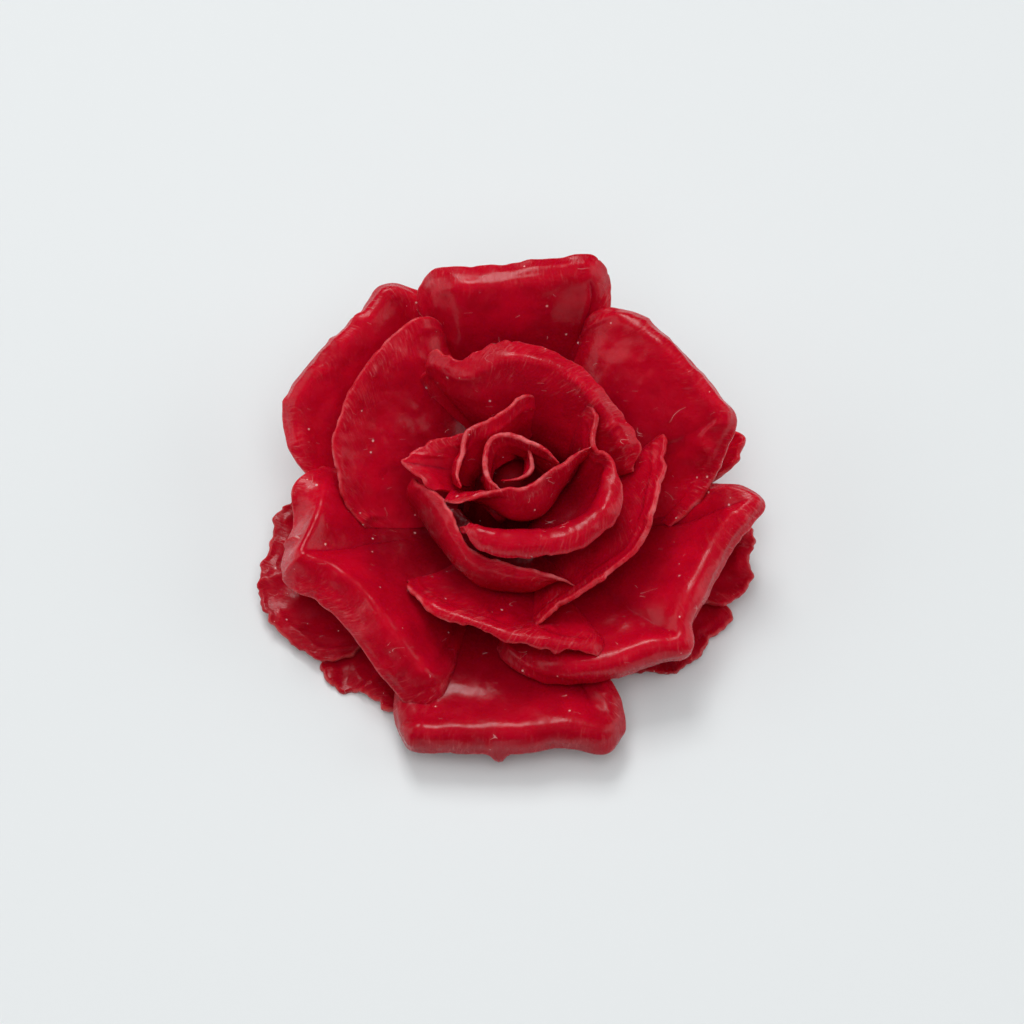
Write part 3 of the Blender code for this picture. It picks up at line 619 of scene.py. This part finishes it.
BUD_LOOK = Look(
    blade=1.3, rim=0.9, reach=1.6, wave=0.3, wave_length=5.0, jag=0.5, jag_length=3.5, nick=0.35,
    lump=0.13, crease=0.45, band=2.4, painted_shade_from=2.0, painted_shade_over=8.0)
MIDDLE_LOOK = Look(
    blade=1.2, rim=1.0, reach=1.6, wave=0.35, wave_length=6.0, jag=0.75, jag_length=3.2, nick=0.8,
    lump=0.16, crease=0.7, band=6.0, painted_shade_from=5.0, painted_shade_over=13.0)
OUTER_LOOK = Look(
    blade=1.1, rim=1.2, reach=2.4, wave=0.45, wave_length=8.0, jag=0.45, jag_length=5.0, nick=0.35,
    lump=0.22, crease=1.0, band=4.5, painted_shade_from=8.0, painted_shade_over=14.0)
COLLAR_LOOK = Look(
    blade=1.0, rim=1.2, reach=1.6, wave=0.6, wave_length=6.0, jag=1.0, jag_length=3.4, nick=0.45,
    lump=0.28, crease=1.5, band=4.0, painted_shade_from=6.0, painted_shade_over=12.0, rib=0.55, slot="leaf_wax")


@dataclass(frozen=True)
class Tab:
    """A drip, a torn flap or a gap in the free edge of a shell, in millimetres and degrees."""

    azimuth: float
    width: float            # half the width at its foot
    out: float              # how far the edge goes on there, or draws back where it is negative
    drop: float             # how far it hangs down


TABS = {
    "outer_petal_front": (Tab(266.0, 1.1, 1.5, 0.5),),
    "middle_petal_front": (Tab(298.4, 1.4, 1.4, 3.6), Tab(283.0, 0.8, 0.8, 0.2)),
    "middle_petal_back": (Tab(127.0, 2.4, -2.0, 0.0),),
    "middle_petal_right": (Tab(310.0, 0.8, 0.9, 0.1), Tab(289.0, 0.7, -0.8, 0.0)),
}

# How far from the free edge the sway, the uneven run and a tab die out.
SWAY_REACH, JAG_REACH, TAB_REACH = 4.0, 2.2, 1.6
RIB_WIDTH = 0.9
RIB_INSET = 4.0         # how far from the sides the rib and the veins are at full height
FOLD_WIDTH, FOLD_LENGTH = 6.5, 15.0
FUSED_INSET = 12.0      # how far a side that merges into another shell counts as away from a rim
FUSED_THINNING = 0.75   # share of its thickness that such a side loses
RIM_WIDTH = 0.6         # width of the pale rim, partly wear and partly painted highlight
LOW_SHADE_TOP = 13.0         # height below which the colour darkens as painted shade, over the next length
LOW_SHADE_DEPTH = 8.0

# Noises on a shell: their period, and their seed counted up from the shell's own.
SWAY_SEED, JAG_SEED = 0, 2      # the periods are in the looks
NICKS, NICKS_SHOW = (2.6, 10), (9.0, 11)
VEINS_BEND = (9.0, 18)
DENTS = (3.2, 12)
BENDS, SMALL_BENDS = (8.0, 13), (3.4, 14)
FOLDS, FOLDS_SHOW = (1.0, 15), (9.0, 16)
LINE_PLACE, LINE_SHOWS = (7.0, 19), (15.0, 6)
SWELLS, RIM_SWELLS = (5.0, 4), (4.6, 17)
RIM_SHADE = (7.0, 9)
OUTSIDE_LUMPS = (4.5, 5), (1.9, 6)
INSIDE_LUMPS = (4.5, 7), (1.9, 8)


def clipped(values):
    """Values kept between 0 and 1."""
    return np.clip(values, 0.0, 1.0)


def bell(distance, width):
    """1 at no distance, fading to 0 past the width."""
    return np.exp(-(distance / width) ** 2)


def unit(vectors):
    """Vectors of a grid, made 1 long."""
    return vectors / np.maximum(np.linalg.norm(vectors, axis=2, keepdims=True), 1e-9)


def catmull(values, at):
    """Smooth values between the rows of an array, at places counted in rows."""
    last = len(values) - 1
    low = np.clip(np.floor(at).astype(int), 0, last - 1)
    t = (at - low).reshape((-1,) + (1,) * (values.ndim - 1))
    a, b = values[np.maximum(low - 1, 0)], values[low]
    c, d = values[low + 1], values[np.minimum(low + 2, last)]
    return b + 0.5 * t * (c - a + t * (2 * a - 5 * b + 4 * c - d + t * (3 * (b - c) + d - a)))


def wobble(points, period, seed):
    """Smooth noise from -1 to 1 at points, an array whose last axis has three coordinates."""
    scaled = points / period + np.array((0.37, 0.71, 0.13)) * (seed + 1)
    cell = np.floor(scaled).astype(np.int64)
    inside = scaled - cell
    ease = inside ** 3 * (inside * (inside * 6 - 15) + 10)
    total = np.zeros(points.shape[:-1])
    for corner in range(8):
        offset = np.array((corner & 1, corner >> 1 & 1, corner >> 2 & 1))
        at = cell + offset
        mixed = (at[..., 0] * 374761393 + at[..., 1] * 668265263 + at[..., 2] * 2147483647
                 + seed * 974711) & 0xFFFFFFFF
        mixed = (mixed ^ (mixed >> 13)) * 1274126177 & 0xFFFFFFFF
        mixed = mixed ^ (mixed >> 16)
        gradient = np.stack([(mixed >> shift & 255) / 127.5 - 1.0 for shift in (0, 8, 16)], axis=-1)
        slope = np.sum(gradient * (inside - offset), axis=-1)
        weight = np.prod(np.where(offset == 1, ease, 1 - ease), axis=-1)
        total += weight * slope
    return np.clip(total * 1.3, -1.0, 1.0)


def run_lengths(grid, axis):
    """Length along the grid lines of one axis, from their start."""
    legs = np.linalg.norm(np.diff(grid, axis=axis), axis=2)
    pad = [(0, 0), (0, 0)]
    pad[axis] = (1, 0)
    return np.pad(np.cumsum(legs, axis=axis), pad)


def fair(grid):
    """A grid with small kinks smoothed out, and its borders kept."""
    for _ in range(FAIR_ROUNDS):
        inner = grid.copy()
        inner[:, 1:-1] = (grid[:, :-2] + 2 * grid[:, 1:-1] + grid[:, 2:]) / 4
        grid = inner.copy()
        inner[1:-1] = (grid[:-2] + 2 * grid[1:-1] + grid[2:]) / 4
        grid = inner
    return grid


def fine_surface(shell, moves):
    """Fine grid of places halfway through a shell, with the moves of its coarse grid."""
    cells = [(*polar(*point[:3]), *point[3:]) for point in shell.crest]
    shares = rim_shares(catmull_rom(cells, FINE_STEPS), FINE_COLUMNS, True)
    columns = crest_columns(shell, shares, FINE_STEPS)
    moves_across = catmull(np.array(moves), shares * (COLUMNS - 1))
    grid = []
    for samples, column_moves in zip(columns, moves_across):
        rows = rim_shares(samples, FINE_ROWS, False)
        places = spread(samples, rows)[:, :3]
        grid.append(places + catmull(column_moves, rows * (ROWS - 1)))
    return fair(np.array(grid))


def grid_quads(index):
    """Faces of a grid whose places have the numbers in index."""
    corners = (index[:-1, :-1], index[1:, :-1], index[1:, 1:], index[:-1, 1:])
    return np.stack([corner.ravel() for corner in corners], axis=1)


def array_tree(grids):
    """Search tree over several fine grids."""
    places = []
    faces = []
    for grid in grids:
        columns, rows = grid.shape[:2]
        index = np.arange(columns * rows).reshape(columns, rows) + len(places)
        places.extend(grid.reshape(-1, 3).tolist())
        faces.extend(grid_quads(index).tolist())
    return BVHTree.FromPolygons(places, faces)


def fused(grid, outer_tree):
    """A grid whose two sides lean on the shells outside it, where those are near.

    The second result is 1 where a side merges into another shell, and fades to 0 away from it.
    """
    across = run_lengths(grid, 0)
    result = grid.copy()
    held = np.zeros(grid.shape[:2])
    for side, distance in ((0, across), (-1, across[-1:] - across)):
        lean = np.zeros(grid[0].shape)
        hold = np.zeros(len(lean))
        for j, place in enumerate(grid[side]):
            near, _, _, gap = outer_tree.find_nearest(Vector(place), FUSE_REACH)
            if near is not None:
                hold[j] = min(1.0, FUSE_GRIP * (1.0 - gap / FUSE_REACH))
                lean[j] = (np.array(near) - place) * hold[j]
        for _ in range(FUSE_ROUNDS):
            lean[1:-1] = (lean[:-2] + 2 * lean[1:-1] + lean[2:]) / 4
            hold[1:-1] = (hold[:-2] + 2 * hold[1:-1] + hold[2:]) / 4
        share = clipped(1.0 - distance / (FUSE_SHARE * across[-1:]))
        ease = share * share * (3 - 2 * share)
        result += lean[None] * ease[..., None]
        held = np.maximum(held, hold[None] * bell(distance, FUSE_TAPER))
    return result, held


class Sheet:
    """The fine grid of a shell while it gets its wax, with its lengths and directions before that."""

    def __init__(self, grid, held, look, seed):
        self.grid, self.held, self.look, self.seed = grid, held, look, seed
        self.across, self.down = run_lengths(grid, 0), run_lengths(grid, 1)
        self.crest_way = self.across[:, -1:] + 0 * self.down
        self.from_edge = self.down[:, -1:] - self.down
        self.from_side = np.minimum(self.across, self.across[-1:] - self.across)
        self.from_rim = np.minimum(self.from_edge, self.from_side + FUSED_INSET * held)
        self.near_edge = bell(self.from_edge, SWAY_REACH)
        self.ways = unit(np.gradient(grid, axis=1))
        self.normals = unit(np.cross(np.gradient(grid, axis=0), np.gradient(grid, axis=1)))

    def noise(self, period, seed):
        """Noise all over the sheet."""
        return wobble(self.grid, period, self.seed + seed)

    def crest_noise(self, period, seed):
        """Noise along the free edge, the same all the way down from it."""
        zero = np.zeros_like(self.crest_way)
        places = np.stack((self.crest_way, zero, zero + 0.5 * period), axis=-1)
        return wobble(places, period, self.seed + seed)

    def push(self, ways, distance):
        """Moves the sheet along ways by a distance at each place."""
        self.grid = self.grid + ways * distance[..., None]

    def sway(self):
        """The free edge sways in and out, and has an uneven run with nicks."""
        look = self.look
        sway = self.crest_noise(look.wave_length, SWAY_SEED)
        sway = sway + 0.4 * self.crest_noise(look.wave_length / 2.6, SWAY_SEED + 1)
        self.push(self.normals, look.wave * sway * self.near_edge)
        jag = self.crest_noise(look.jag_length, JAG_SEED)
        jag = jag + 0.5 * self.crest_noise(look.jag_length / 2.7, JAG_SEED + 1)
        nicks = clipped(1.0 - np.abs(self.crest_noise(*NICKS)) * 5.0)
        nicks = nicks * clipped(2.0 * self.crest_noise(*NICKS_SHOW))
        ragged = look.jag * jag - look.nick * nicks
        self.push(self.ways, ragged * bell(self.from_edge, JAG_REACH))

    def vein(self):
        """A midrib, with slanting veins beside it."""
        from_rib = self.across - self.across[-1:] / 2
        phase = 0.9 * (self.from_edge - 0.7 * np.abs(from_rib)) + 3.0 * self.noise(*VEINS_BEND)
        veins = bell(from_rib, RIB_WIDTH) + 0.22 * np.sin(phase)
        self.push(-self.normals, self.look.rib * veins * clipped(self.from_side / RIB_INSET))

    def hang(self, tabs):
        """Drips, torn flaps and gaps in the free edge."""
        azimuths = np.degrees(np.arctan2(self.grid[:, -1, 1], self.grid[:, -1, 0])) % 360.0
        for tab in tabs:
            foot = self.crest_way[np.argmin(np.abs(azimuths - tab.azimuth)), -1]
            beside = np.abs((self.crest_way - foot) / tab.width)
            share = np.exp(-beside ** 3 - (self.from_edge / TAB_REACH) ** 2)[..., None]
            self.grid = self.grid + share * (self.ways * tab.out - np.array(UP) * tab.drop)

    def crease(self):
        """Dents under the rim, bends all over, folds down from the edge and a line along it."""
        dents = np.maximum(self.noise(*DENTS), 0.0) ** 2 * bell(self.from_edge - 1.2, 1.8)
        bends = 0.30 * self.noise(*BENDS) + 0.16 * self.noise(*SMALL_BENDS)
        ways = (self.crest_way / FOLD_WIDTH, self.from_edge / FOLD_LENGTH, 0 * self.down)
        period, seed = FOLDS
        folds = 1.0 - 6.0 * np.abs(wobble(np.stack(ways, axis=-1), period, self.seed + seed))
        shown = clipped(1.6 * self.noise(*FOLDS_SHOW)) * bell(self.from_edge - 2.5, 4.0)
        folds = np.maximum(folds, 0.0) * shown
        line = bell(self.from_edge - (2.3 + 0.5 * self.crest_noise(*LINE_PLACE)), 0.5)
        line = line * clipped(0.5 + self.crest_noise(*LINE_SHOWS))
        sunk = self.look.crease * (folds + 0.34 * line - bends * (1.0 - self.held)) + 0.5 * dents
        self.push(-self.normals, sunk)

    def faces(self):
        """The two faces of the wax, which meet in a round rim."""
        look = self.look
        thickness = look.blade + (look.rim - look.blade) * bell(self.from_rim, look.reach)
        rim_swells = 0.09 * self.near_edge * self.crest_noise(*RIM_SWELLS)
        thickness *= 1.0 + 0.16 * self.noise(*SWELLS) + rim_swells
        thickness *= 1.0 - FUSED_THINNING * self.held
        half = thickness / 2
        depth = clipped(1.0 - np.minimum(self.from_edge, self.from_side) / half)
        half = half * np.sqrt(1.0 - depth ** 2)
        faces = []
        for side, (coarse, fine) in ((1.0, OUTSIDE_LUMPS), (-1.0, INSIDE_LUMPS)):
            lumps = self.noise(*coarse) + 0.45 * self.noise(*fine)
            skin = half * (1.0 + look.lump * lumps / np.maximum(thickness, 0.4) * 2)
            faces.append(self.grid + self.normals * (side * skin)[..., None])
        return faces

    def shades(self):
        """From 0 to 1: the pale rim, partly wear and partly painted highlight; the band of painted sheen
        and brush lines; and the painted shade.
        """
        # Pale rim: partly wear and partly a painted highlight of light through the thin edge.
        rim = bell(self.from_rim, RIM_WIDTH) * (0.65 + 0.5 * self.crest_noise(*RIM_SHADE))
        # Painted shade: darker low down, under the petals above, and away from the free edge, in the
        # valleys between shells.
        low_shade = 0.5 * clipped((LOW_SHADE_TOP - self.grid[..., 2]) / LOW_SHADE_DEPTH)
        deep_and_painted_shade = clipped((self.from_edge - self.look.painted_shade_from) / self.look.painted_shade_over)
        band = bell(self.from_edge, self.look.band)
        return {"rim": clipped(rim), "band": band, "deep_and_painted_shade": deep_and_painted_shade * (1.0 - low_shade) + low_shade}


def wax_mesh(name, places, faces, shades):
    """Smooth mesh with a map for lengths and the shades that the wax materials read."""
    mesh = bpy.data.meshes.new(name)
    mesh.from_pydata((places * MM).tolist(), [], faces)
    for shade, values in shades.items():
        mesh.attributes.new(shade, "FLOAT", "POINT").data.foreach_set("value", values)
    mesh.uv_layers.new(name="length")
    mesh.shade_smooth()
    mesh.update()
    return mesh


def shell_mesh(name, sheet):
    """Closed mesh of a shell, whose two faces share their borders."""
    outside, inside = sheet.faces()
    top = (outside + inside) / 2
    top[1:-1, 1:-1] = outside[1:-1, 1:-1]
    inner_places = inside[1:-1, 1:-1].reshape(-1, 3)
    places = np.concatenate((top.reshape(-1, 3), inner_places))
    places[:, 2] = np.maximum(places[:, 2], LOWEST)
    columns, rows = sheet.across.shape
    index = np.arange(columns * rows).reshape(columns, rows)
    inner = index.copy()
    inner[1:-1, 1:-1] = np.arange(index.size, len(places)).reshape(columns - 2, rows - 2)
    quads = np.concatenate((grid_quads(index), grid_quads(inner)[:, ::-1]))

    def on_both(values):
        return np.concatenate((values.ravel(), values[1:-1, 1:-1].ravel()))

    shades = {shade: on_both(values) for shade, values in sheet.shades().items()}
    mesh = wax_mesh(name, places, quads.tolist(), shades)
    loops = quads.ravel()
    lengths = np.stack((on_both(sheet.across)[loops], on_both(sheet.down)[loops]), axis=1)
    mesh.uv_layers["length"].data.foreach_set("uv", lengths.ravel() * UV_PER_MM)
    return mesh


PAINTED_SHADE_BRIGHTNESS = 0.3   # of the painted shade at the foot of a shell
PAINTED_SHADE_SHARE = 0.75       # how much of that shows there
DUST_COLOUR = (0.85, 0.55, 0.52, 1.0)


class Wires:
    """Adds nodes to a material.  What goes into a node is another node's output or a value."""

    def __init__(self, material):
        self.tree = material.node_tree

    def feed(self, node, inputs):
        for key, value in inputs.items():
            if isinstance(value, bpy.types.NodeSocket):
                self.tree.links.new(value, node.inputs[key])
            else:
                node.inputs[key].default_value = value

    def node(self, kind, inputs, **settings):
        made = self.tree.nodes.new("ShaderNode" + kind)
        for key, value in settings.items():
            setattr(made, key, value)
        self.feed(made, inputs)
        return made.outputs

    def math(self, operation, *values):
        return self.node("Math", dict(enumerate(values)), operation=operation)[0]

    def times(self, *values):
        return self.math("MULTIPLY", *values)

    def noise(self, vector, scale, detail=2.0, roughness=0.5):
        inputs = {"Vector": vector, "Scale": scale, "Detail": detail, "Roughness": roughness}
        return self.node("TexNoise", inputs)["Fac"]

    def scaled(self, vector, scale):
        return self.node("Mapping", {"Vector": vector, "Scale": scale})["Vector"]

    def mix(self, share, first, second):
        """Mixes two colours, for which the node has the inputs 6 and 7 and the output 2."""
        return self.node("Mix", {"Factor": share, 6: first, 7: second}, data_type="RGBA")[2]

    def ramp(self, value, low, high):
        inputs = {"Value": value, "From Min": low, "From Max": high}
        return self.node("MapRange", inputs, interpolation_type="SMOOTHSTEP")["Result"]

    def shade(self, name):
        return self.node("Attribute", {}, attribute_name=name)["Fac"]


def wax_colour(wires, mm, lengths, base, deep_and_painted_shade, pale):
    """Cloudy wax with painted shade towards the foot, pale rims of wear and painted highlight, and streaks
    of painted sheen in the band.
    """
    # The colour of the painted shade, mixed in towards the foot and low down.
    foot = [PAINTED_SHADE_BRIGHTNESS * value for value in deep_and_painted_shade]
    base, deep_and_painted_shade, pale, foot = [(*colour, 1.0) for colour in (base, deep_and_painted_shade, pale, foot)]
    colour = wires.mix(wires.ramp(wires.noise(mm, 0.16, 3.0), 0.35, 0.7), deep_and_painted_shade, base)
    colour = wires.mix(wires.times(wires.shade("deep_and_painted_shade"), PAINTED_SHADE_SHARE), colour, foot)
    # Painted sheen: pale, hazy streaks in the band along the free edge.
    streaks = wires.noise(wires.scaled(lengths, (2.6, 0.45, 1.0)), 1.0, 4.0, 0.65)
    streaks = wires.times(wires.shade("band"), wires.ramp(streaks, 0.50, 0.80))
    painted_sheen = wires.times(wires.ramp(wires.noise(mm, 0.21), 0.36, 0.62), streaks)
    # Pale rim: partly wear and partly a painted highlight of light through the thin edge.
    rim = wires.ramp(wires.shade("rim"), 0.30, 0.95)
    rim = wires.times(rim, wires.ramp(wires.noise(mm, 0.5, 3.0), 0.3, 0.7))
    wear_and_painted_light = wires.math("MAXIMUM", wires.times(rim, 0.75), wires.times(painted_sheen, 0.85))
    return wires.mix(wear_and_painted_light, colour, pale)


def wax_marks(wires, mm):
    """How much of the dust colour shows: specks of many sizes, and short fine hairs."""
    cells = wires.node("TexVoronoi", {"Scale": 0.55, "Vector": mm}, feature="F1")
    draws = wires.node("SeparateColor", {"Color": cells["Color"]})
    speck = wires.math("LESS_THAN", cells["Distance"], wires.times(draws[1], 0.13))
    speck = wires.times(speck, wires.math("GREATER_THAN", draws[0], 0.66))
    level = wires.noise(wires.scaled(mm, (0.22, 0.5, 0.35)), 1.0, 0.0)
    hair = wires.math("ABSOLUTE", wires.math("SUBTRACT", level, 0.5))
    few = wires.math("GREATER_THAN", wires.noise(mm, 0.35, 1.0), 0.66)
    hair = wires.times(wires.math("LESS_THAN", hair, 0.0036), few)
    return wires.math("MAXIMUM", wires.times(speck, 0.75), wires.times(hair, 0.5))


def wax_relief(wires, mm, lengths):
    """Normal of the wax with its soft lumps, its brush lines along the band and its grain."""
    lines = wires.noise(wires.scaled(lengths, (3.2, 0.35, 1.0)), 1.0, 3.0)
    lines = wires.times(wires.times(lines, wires.shade("band")), 0.55)
    height = wires.math("ADD", wires.noise(mm, 0.38, 2.5, 0.4), lines)
    height = wires.math("ADD", height, wires.times(wires.noise(mm, 3.5), 0.04))
    inputs = {"Strength": 0.75, "Distance": 0.35 * MM, "Height": height}
    return wires.node("Bump", inputs)["Normal"]


def wax_material(name, base, deep_and_painted_shade, pale, rough, specular, coat):
    """Satin wax that lets a little light through, with dust, fine scratches and brush lines.

    The colours are linear: the base one of most of it, the darker one of its cloudy patches and, darkened,
    of its painted shade, and the pale one of its rims, partly wear and partly painted highlight, and of its
    painted sheen.
    """
    material = bpy.data.materials.new(name)
    material.use_nodes = True
    wires = Wires(material)
    mm = wires.scaled(wires.node("TexCoord", {})["Object"], (1 / MM, 1 / MM, 1 / MM))
    uv = wires.node("UVMap", {}, uv_map="length")["UV"]
    lengths = wires.scaled(uv, (1 / UV_PER_MM, 1 / UV_PER_MM, 1.0))
    colour = wax_colour(wires, mm, lengths, base, deep_and_painted_shade, pale)
    colour = wires.mix(wax_marks(wires, mm), colour, DUST_COLOUR)
    wires.feed(material.node_tree.nodes["Principled BSDF"], {
        "Base Color": colour,
        "Normal": wax_relief(wires, mm, lengths),
        "Roughness": wires.math("ADD", wires.times(wires.noise(mm, 0.6, 3.0), 0.20), rough),
        "IOR": 1.44,
        "Subsurface Weight": 0.45,
        "Subsurface Radius": (1.0, 0.12, 0.08),
        "Subsurface Scale": 1.6 * MM,
        "Specular IOR Level": specular,
        "Coat Weight": coat,
        "Coat Roughness": 0.14,
    })
    return material


MATERIALS = {
    "petal_wax": wax_material(
        "petal_wax", base=(0.58, 0.0012, 0.018), deep_and_painted_shade=(0.48, 0.001, 0.014), pale=(0.78, 0.18, 0.19),
        rough=0.17, specular=0.24, coat=0.18),
    "leaf_wax": wax_material(
        "leaf_wax", base=(0.68, 0.0014, 0.021), deep_and_painted_shade=(0.50, 0.001, 0.014), pale=(0.68, 0.11, 0.11),
        rough=0.18, specular=0.24, coat=0.16),
    # The hip is darker than the petals all over as painted shade, for the hollow of the bud that it fills.
    "hip_wax": wax_material(
        "hip_wax", base=(0.36, 0.001, 0.010), deep_and_painted_shade=(0.22, 0.001, 0.006), pale=(0.40, 0.03, 0.03),
        rough=0.45, specular=0.06, coat=0.0),
}


def add_piece(mesh, slot, node):
    """A visible piece that stands for a CAD node."""
    mesh.materials.append(MATERIALS[slot])
    piece = bpy.data.objects.new(mesh.name, mesh)
    bpy.context.scene.collection.objects.link(piece)
    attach(piece, "root")
    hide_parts(node)


def fine_shells():
    """Every shell with its look and its fine grid, from the bud outwards."""
    placed = []
    fine = []
    for group, look in ((BUD, BUD_LOOK), (MIDDLE, MIDDLE_LOOK), (OUTER, OUTER_LOOK), (COLLAR, COLLAR_LOOK)):
        for shell in group:
            grid, rolled = coarse_surface(shell)
            moved, moves = keep_clear(grid, rolled, shell.wax, placed)
            places = probe_places(moved, probe_corners(COLUMNS, ROWS))
            placed.append((places, rolled, grid_tree(moved), shell.wax))
            fine.append((shell, look, fine_surface(shell, moves)))
    return fine


def add_petals():
    """The petals, whose sides merge into the petals outside them, and the collar leaves."""
    fine = fine_shells()
    for i, (shell, look, grid) in enumerate(fine):
        outside = [other for _, other_look, other in fine[i + 1:] if other_look is not COLLAR_LOOK]
        held = np.zeros(grid.shape[:2])
        if outside and look is not COLLAR_LOOK:
            grid, held = fused(grid, array_tree(outside))
        sheet = Sheet(grid, held, look, FIRST_SEED + SEEDS_PER_SHELL * i)
        sheet.sway()
        sheet.vein()
        sheet.hang(TABS.get(shell.name, ()))
        sheet.crease()
        add_piece(shell_mesh(shell.name + "_look", sheet), look.slot, shell.name)


def hip_outline():
    """Radius and height of the hip's outline, from the middle of its cut face to its top."""
    outline = [(0.0, 0.0), (STUB_RADIUS - 0.3, 0.0), (STUB_RADIUS - 0.08, 0.08), (STUB_RADIUS, 0.3)]
    for step in range(HIP_CONE_STEPS):
        t = step / HIP_CONE_STEPS
        radius = STUB_RADIUS + (HIP_RADIUS - STUB_RADIUS) * t
        outline.append((radius, STUB_HEIGHT + (HIP_WAIST - STUB_HEIGHT) * t))
    for step in range(HIP_DOME_STEPS):
        angle = math.radians(90.0 * step / HIP_DOME_STEPS)
        outline.append((HIP_RADIUS * math.cos(angle), HIP_WAIST + HIP_DOME * math.sin(angle)))
    return outline + [(0.0, HIP_WAIST + HIP_DOME)]


def add_hip():
    """Turned hip with a flat cut face, lumpy under its wax, and darkened on its dome inside the bud as
    painted shade.
    """
    outline = hip_outline()
    vertices = [(0.0, 0.0, 0.0)]
    for radius, height in outline[1:-1]:
        for k in range(HIP_SIDES):
            vertices.append(tuple(polar(360.0 * k / HIP_SIDES, radius, height)))
    vertices.append((0.0, 0.0, outline[-1][1]))
    points = np.array(vertices)
    lumps = HIP_LUMP * wobble(points, 4.0, 3)
    lumps[points[:, 2] < 0.5] = 0.0
    points[:, :2] *= 1.0 - np.abs(lumps)[:, None] / HIP_RADIUS

    round_hip = [(k, (k + 1) % HIP_SIDES) for k in range(HIP_SIDES)]
    top = len(vertices) - 1
    last = top - HIP_SIDES
    faces = [(0, 1 + after, 1 + k) for k, after in round_hip]
    for low in range(1, last, HIP_SIDES):
        high = low + HIP_SIDES
        faces += [(low + k, low + after, high + after, high + k) for k, after in round_hip]
    faces += [(last + k, last + after, top) for k, after in round_hip]
    none = np.zeros(len(points))
    # Painted shade on the dome, deep inside the bud.
    dome_shade = clipped((points[:, 2] - HIP_WAIST) / 3.0)
    mesh = wax_mesh("hip_look", points, faces, {"rim": none, "band": none, "deep_and_painted_shade": dome_shade})
    add_piece(mesh, "hip_wax", "hip")


def add_floor():
    """Wide pale floor, level with the lowest point of the part."""
    low = CAD_BOX[0][2]
    corners = [(x * FLOOR_HALF, y * FLOOR_HALF, low) for x, y in ((-1, -1), (1, -1), (1, 1), (-1, 1))]
    mesh = bpy.data.meshes.new("floor")
    mesh.from_pydata(corners, [], [(0, 1, 2, 3)])
    material = bpy.data.materials.new("floor")
    material.use_nodes = True
    shader = material.node_tree.nodes["Principled BSDF"]
    shader.inputs["Base Color"].default_value = (0.80, 0.83, 0.84, 1.0)
    shader.inputs["Roughness"].default_value = 0.7
    mesh.materials.append(material)
    floor = bpy.data.objects.new("floor", mesh)
    bpy.context.scene.collection.objects.link(floor)


def add_lights():
    """Square area lights that all face the part, in a dim, even world."""
    for name, place, size, power, glossy in LIGHTS:
        light = bpy.data.lights.new(name, "AREA")
        light.size = size
        light.energy = power
        lamp = bpy.data.objects.new(name, light)
        lamp.location = place
        lamp.rotation_euler = (Vector(LIGHT_AIM) - Vector(place)).to_track_quat("-Z", "Y").to_euler()
        lamp.visible_glossy = glossy
        bpy.context.scene.collection.objects.link(lamp)
    world = bpy.data.worlds.new("studio")
    bpy.context.scene.world = world
    world.use_nodes = True
    world.cycles_visibility.glossy = False
    background = world.node_tree.nodes["Background"]
    background.inputs["Color"].default_value = (0.975, 1.0, 1.0, 1.0)
    background.inputs["Strength"].default_value = 0.08


def add_camera():
    """Camera that looks down on the part from the front."""
    elevation = math.radians(60.0)
    distance = 0.45037
    target = Vector((-0.0005, -0.0035, 0.016))
    forward = Vector((0.0, math.cos(elevation), -math.sin(elevation)))
    data = bpy.data.cameras.new("camera")
    data.lens = 95.0
    data.sensor_width = 36.0
    data.clip_start = 0.01
    camera = bpy.data.objects.new("camera", data)
    camera.location = target - forward * distance
    camera.rotation_euler = forward.to_track_quat("-Z", "Y").to_euler()
    bpy.context.scene.collection.objects.link(camera)
    bpy.context.scene.camera = camera
    bpy.context.scene.view_settings.view_transform = "Standard"


add_petals()
add_hip()
add_floor()
add_lights()
add_camera()
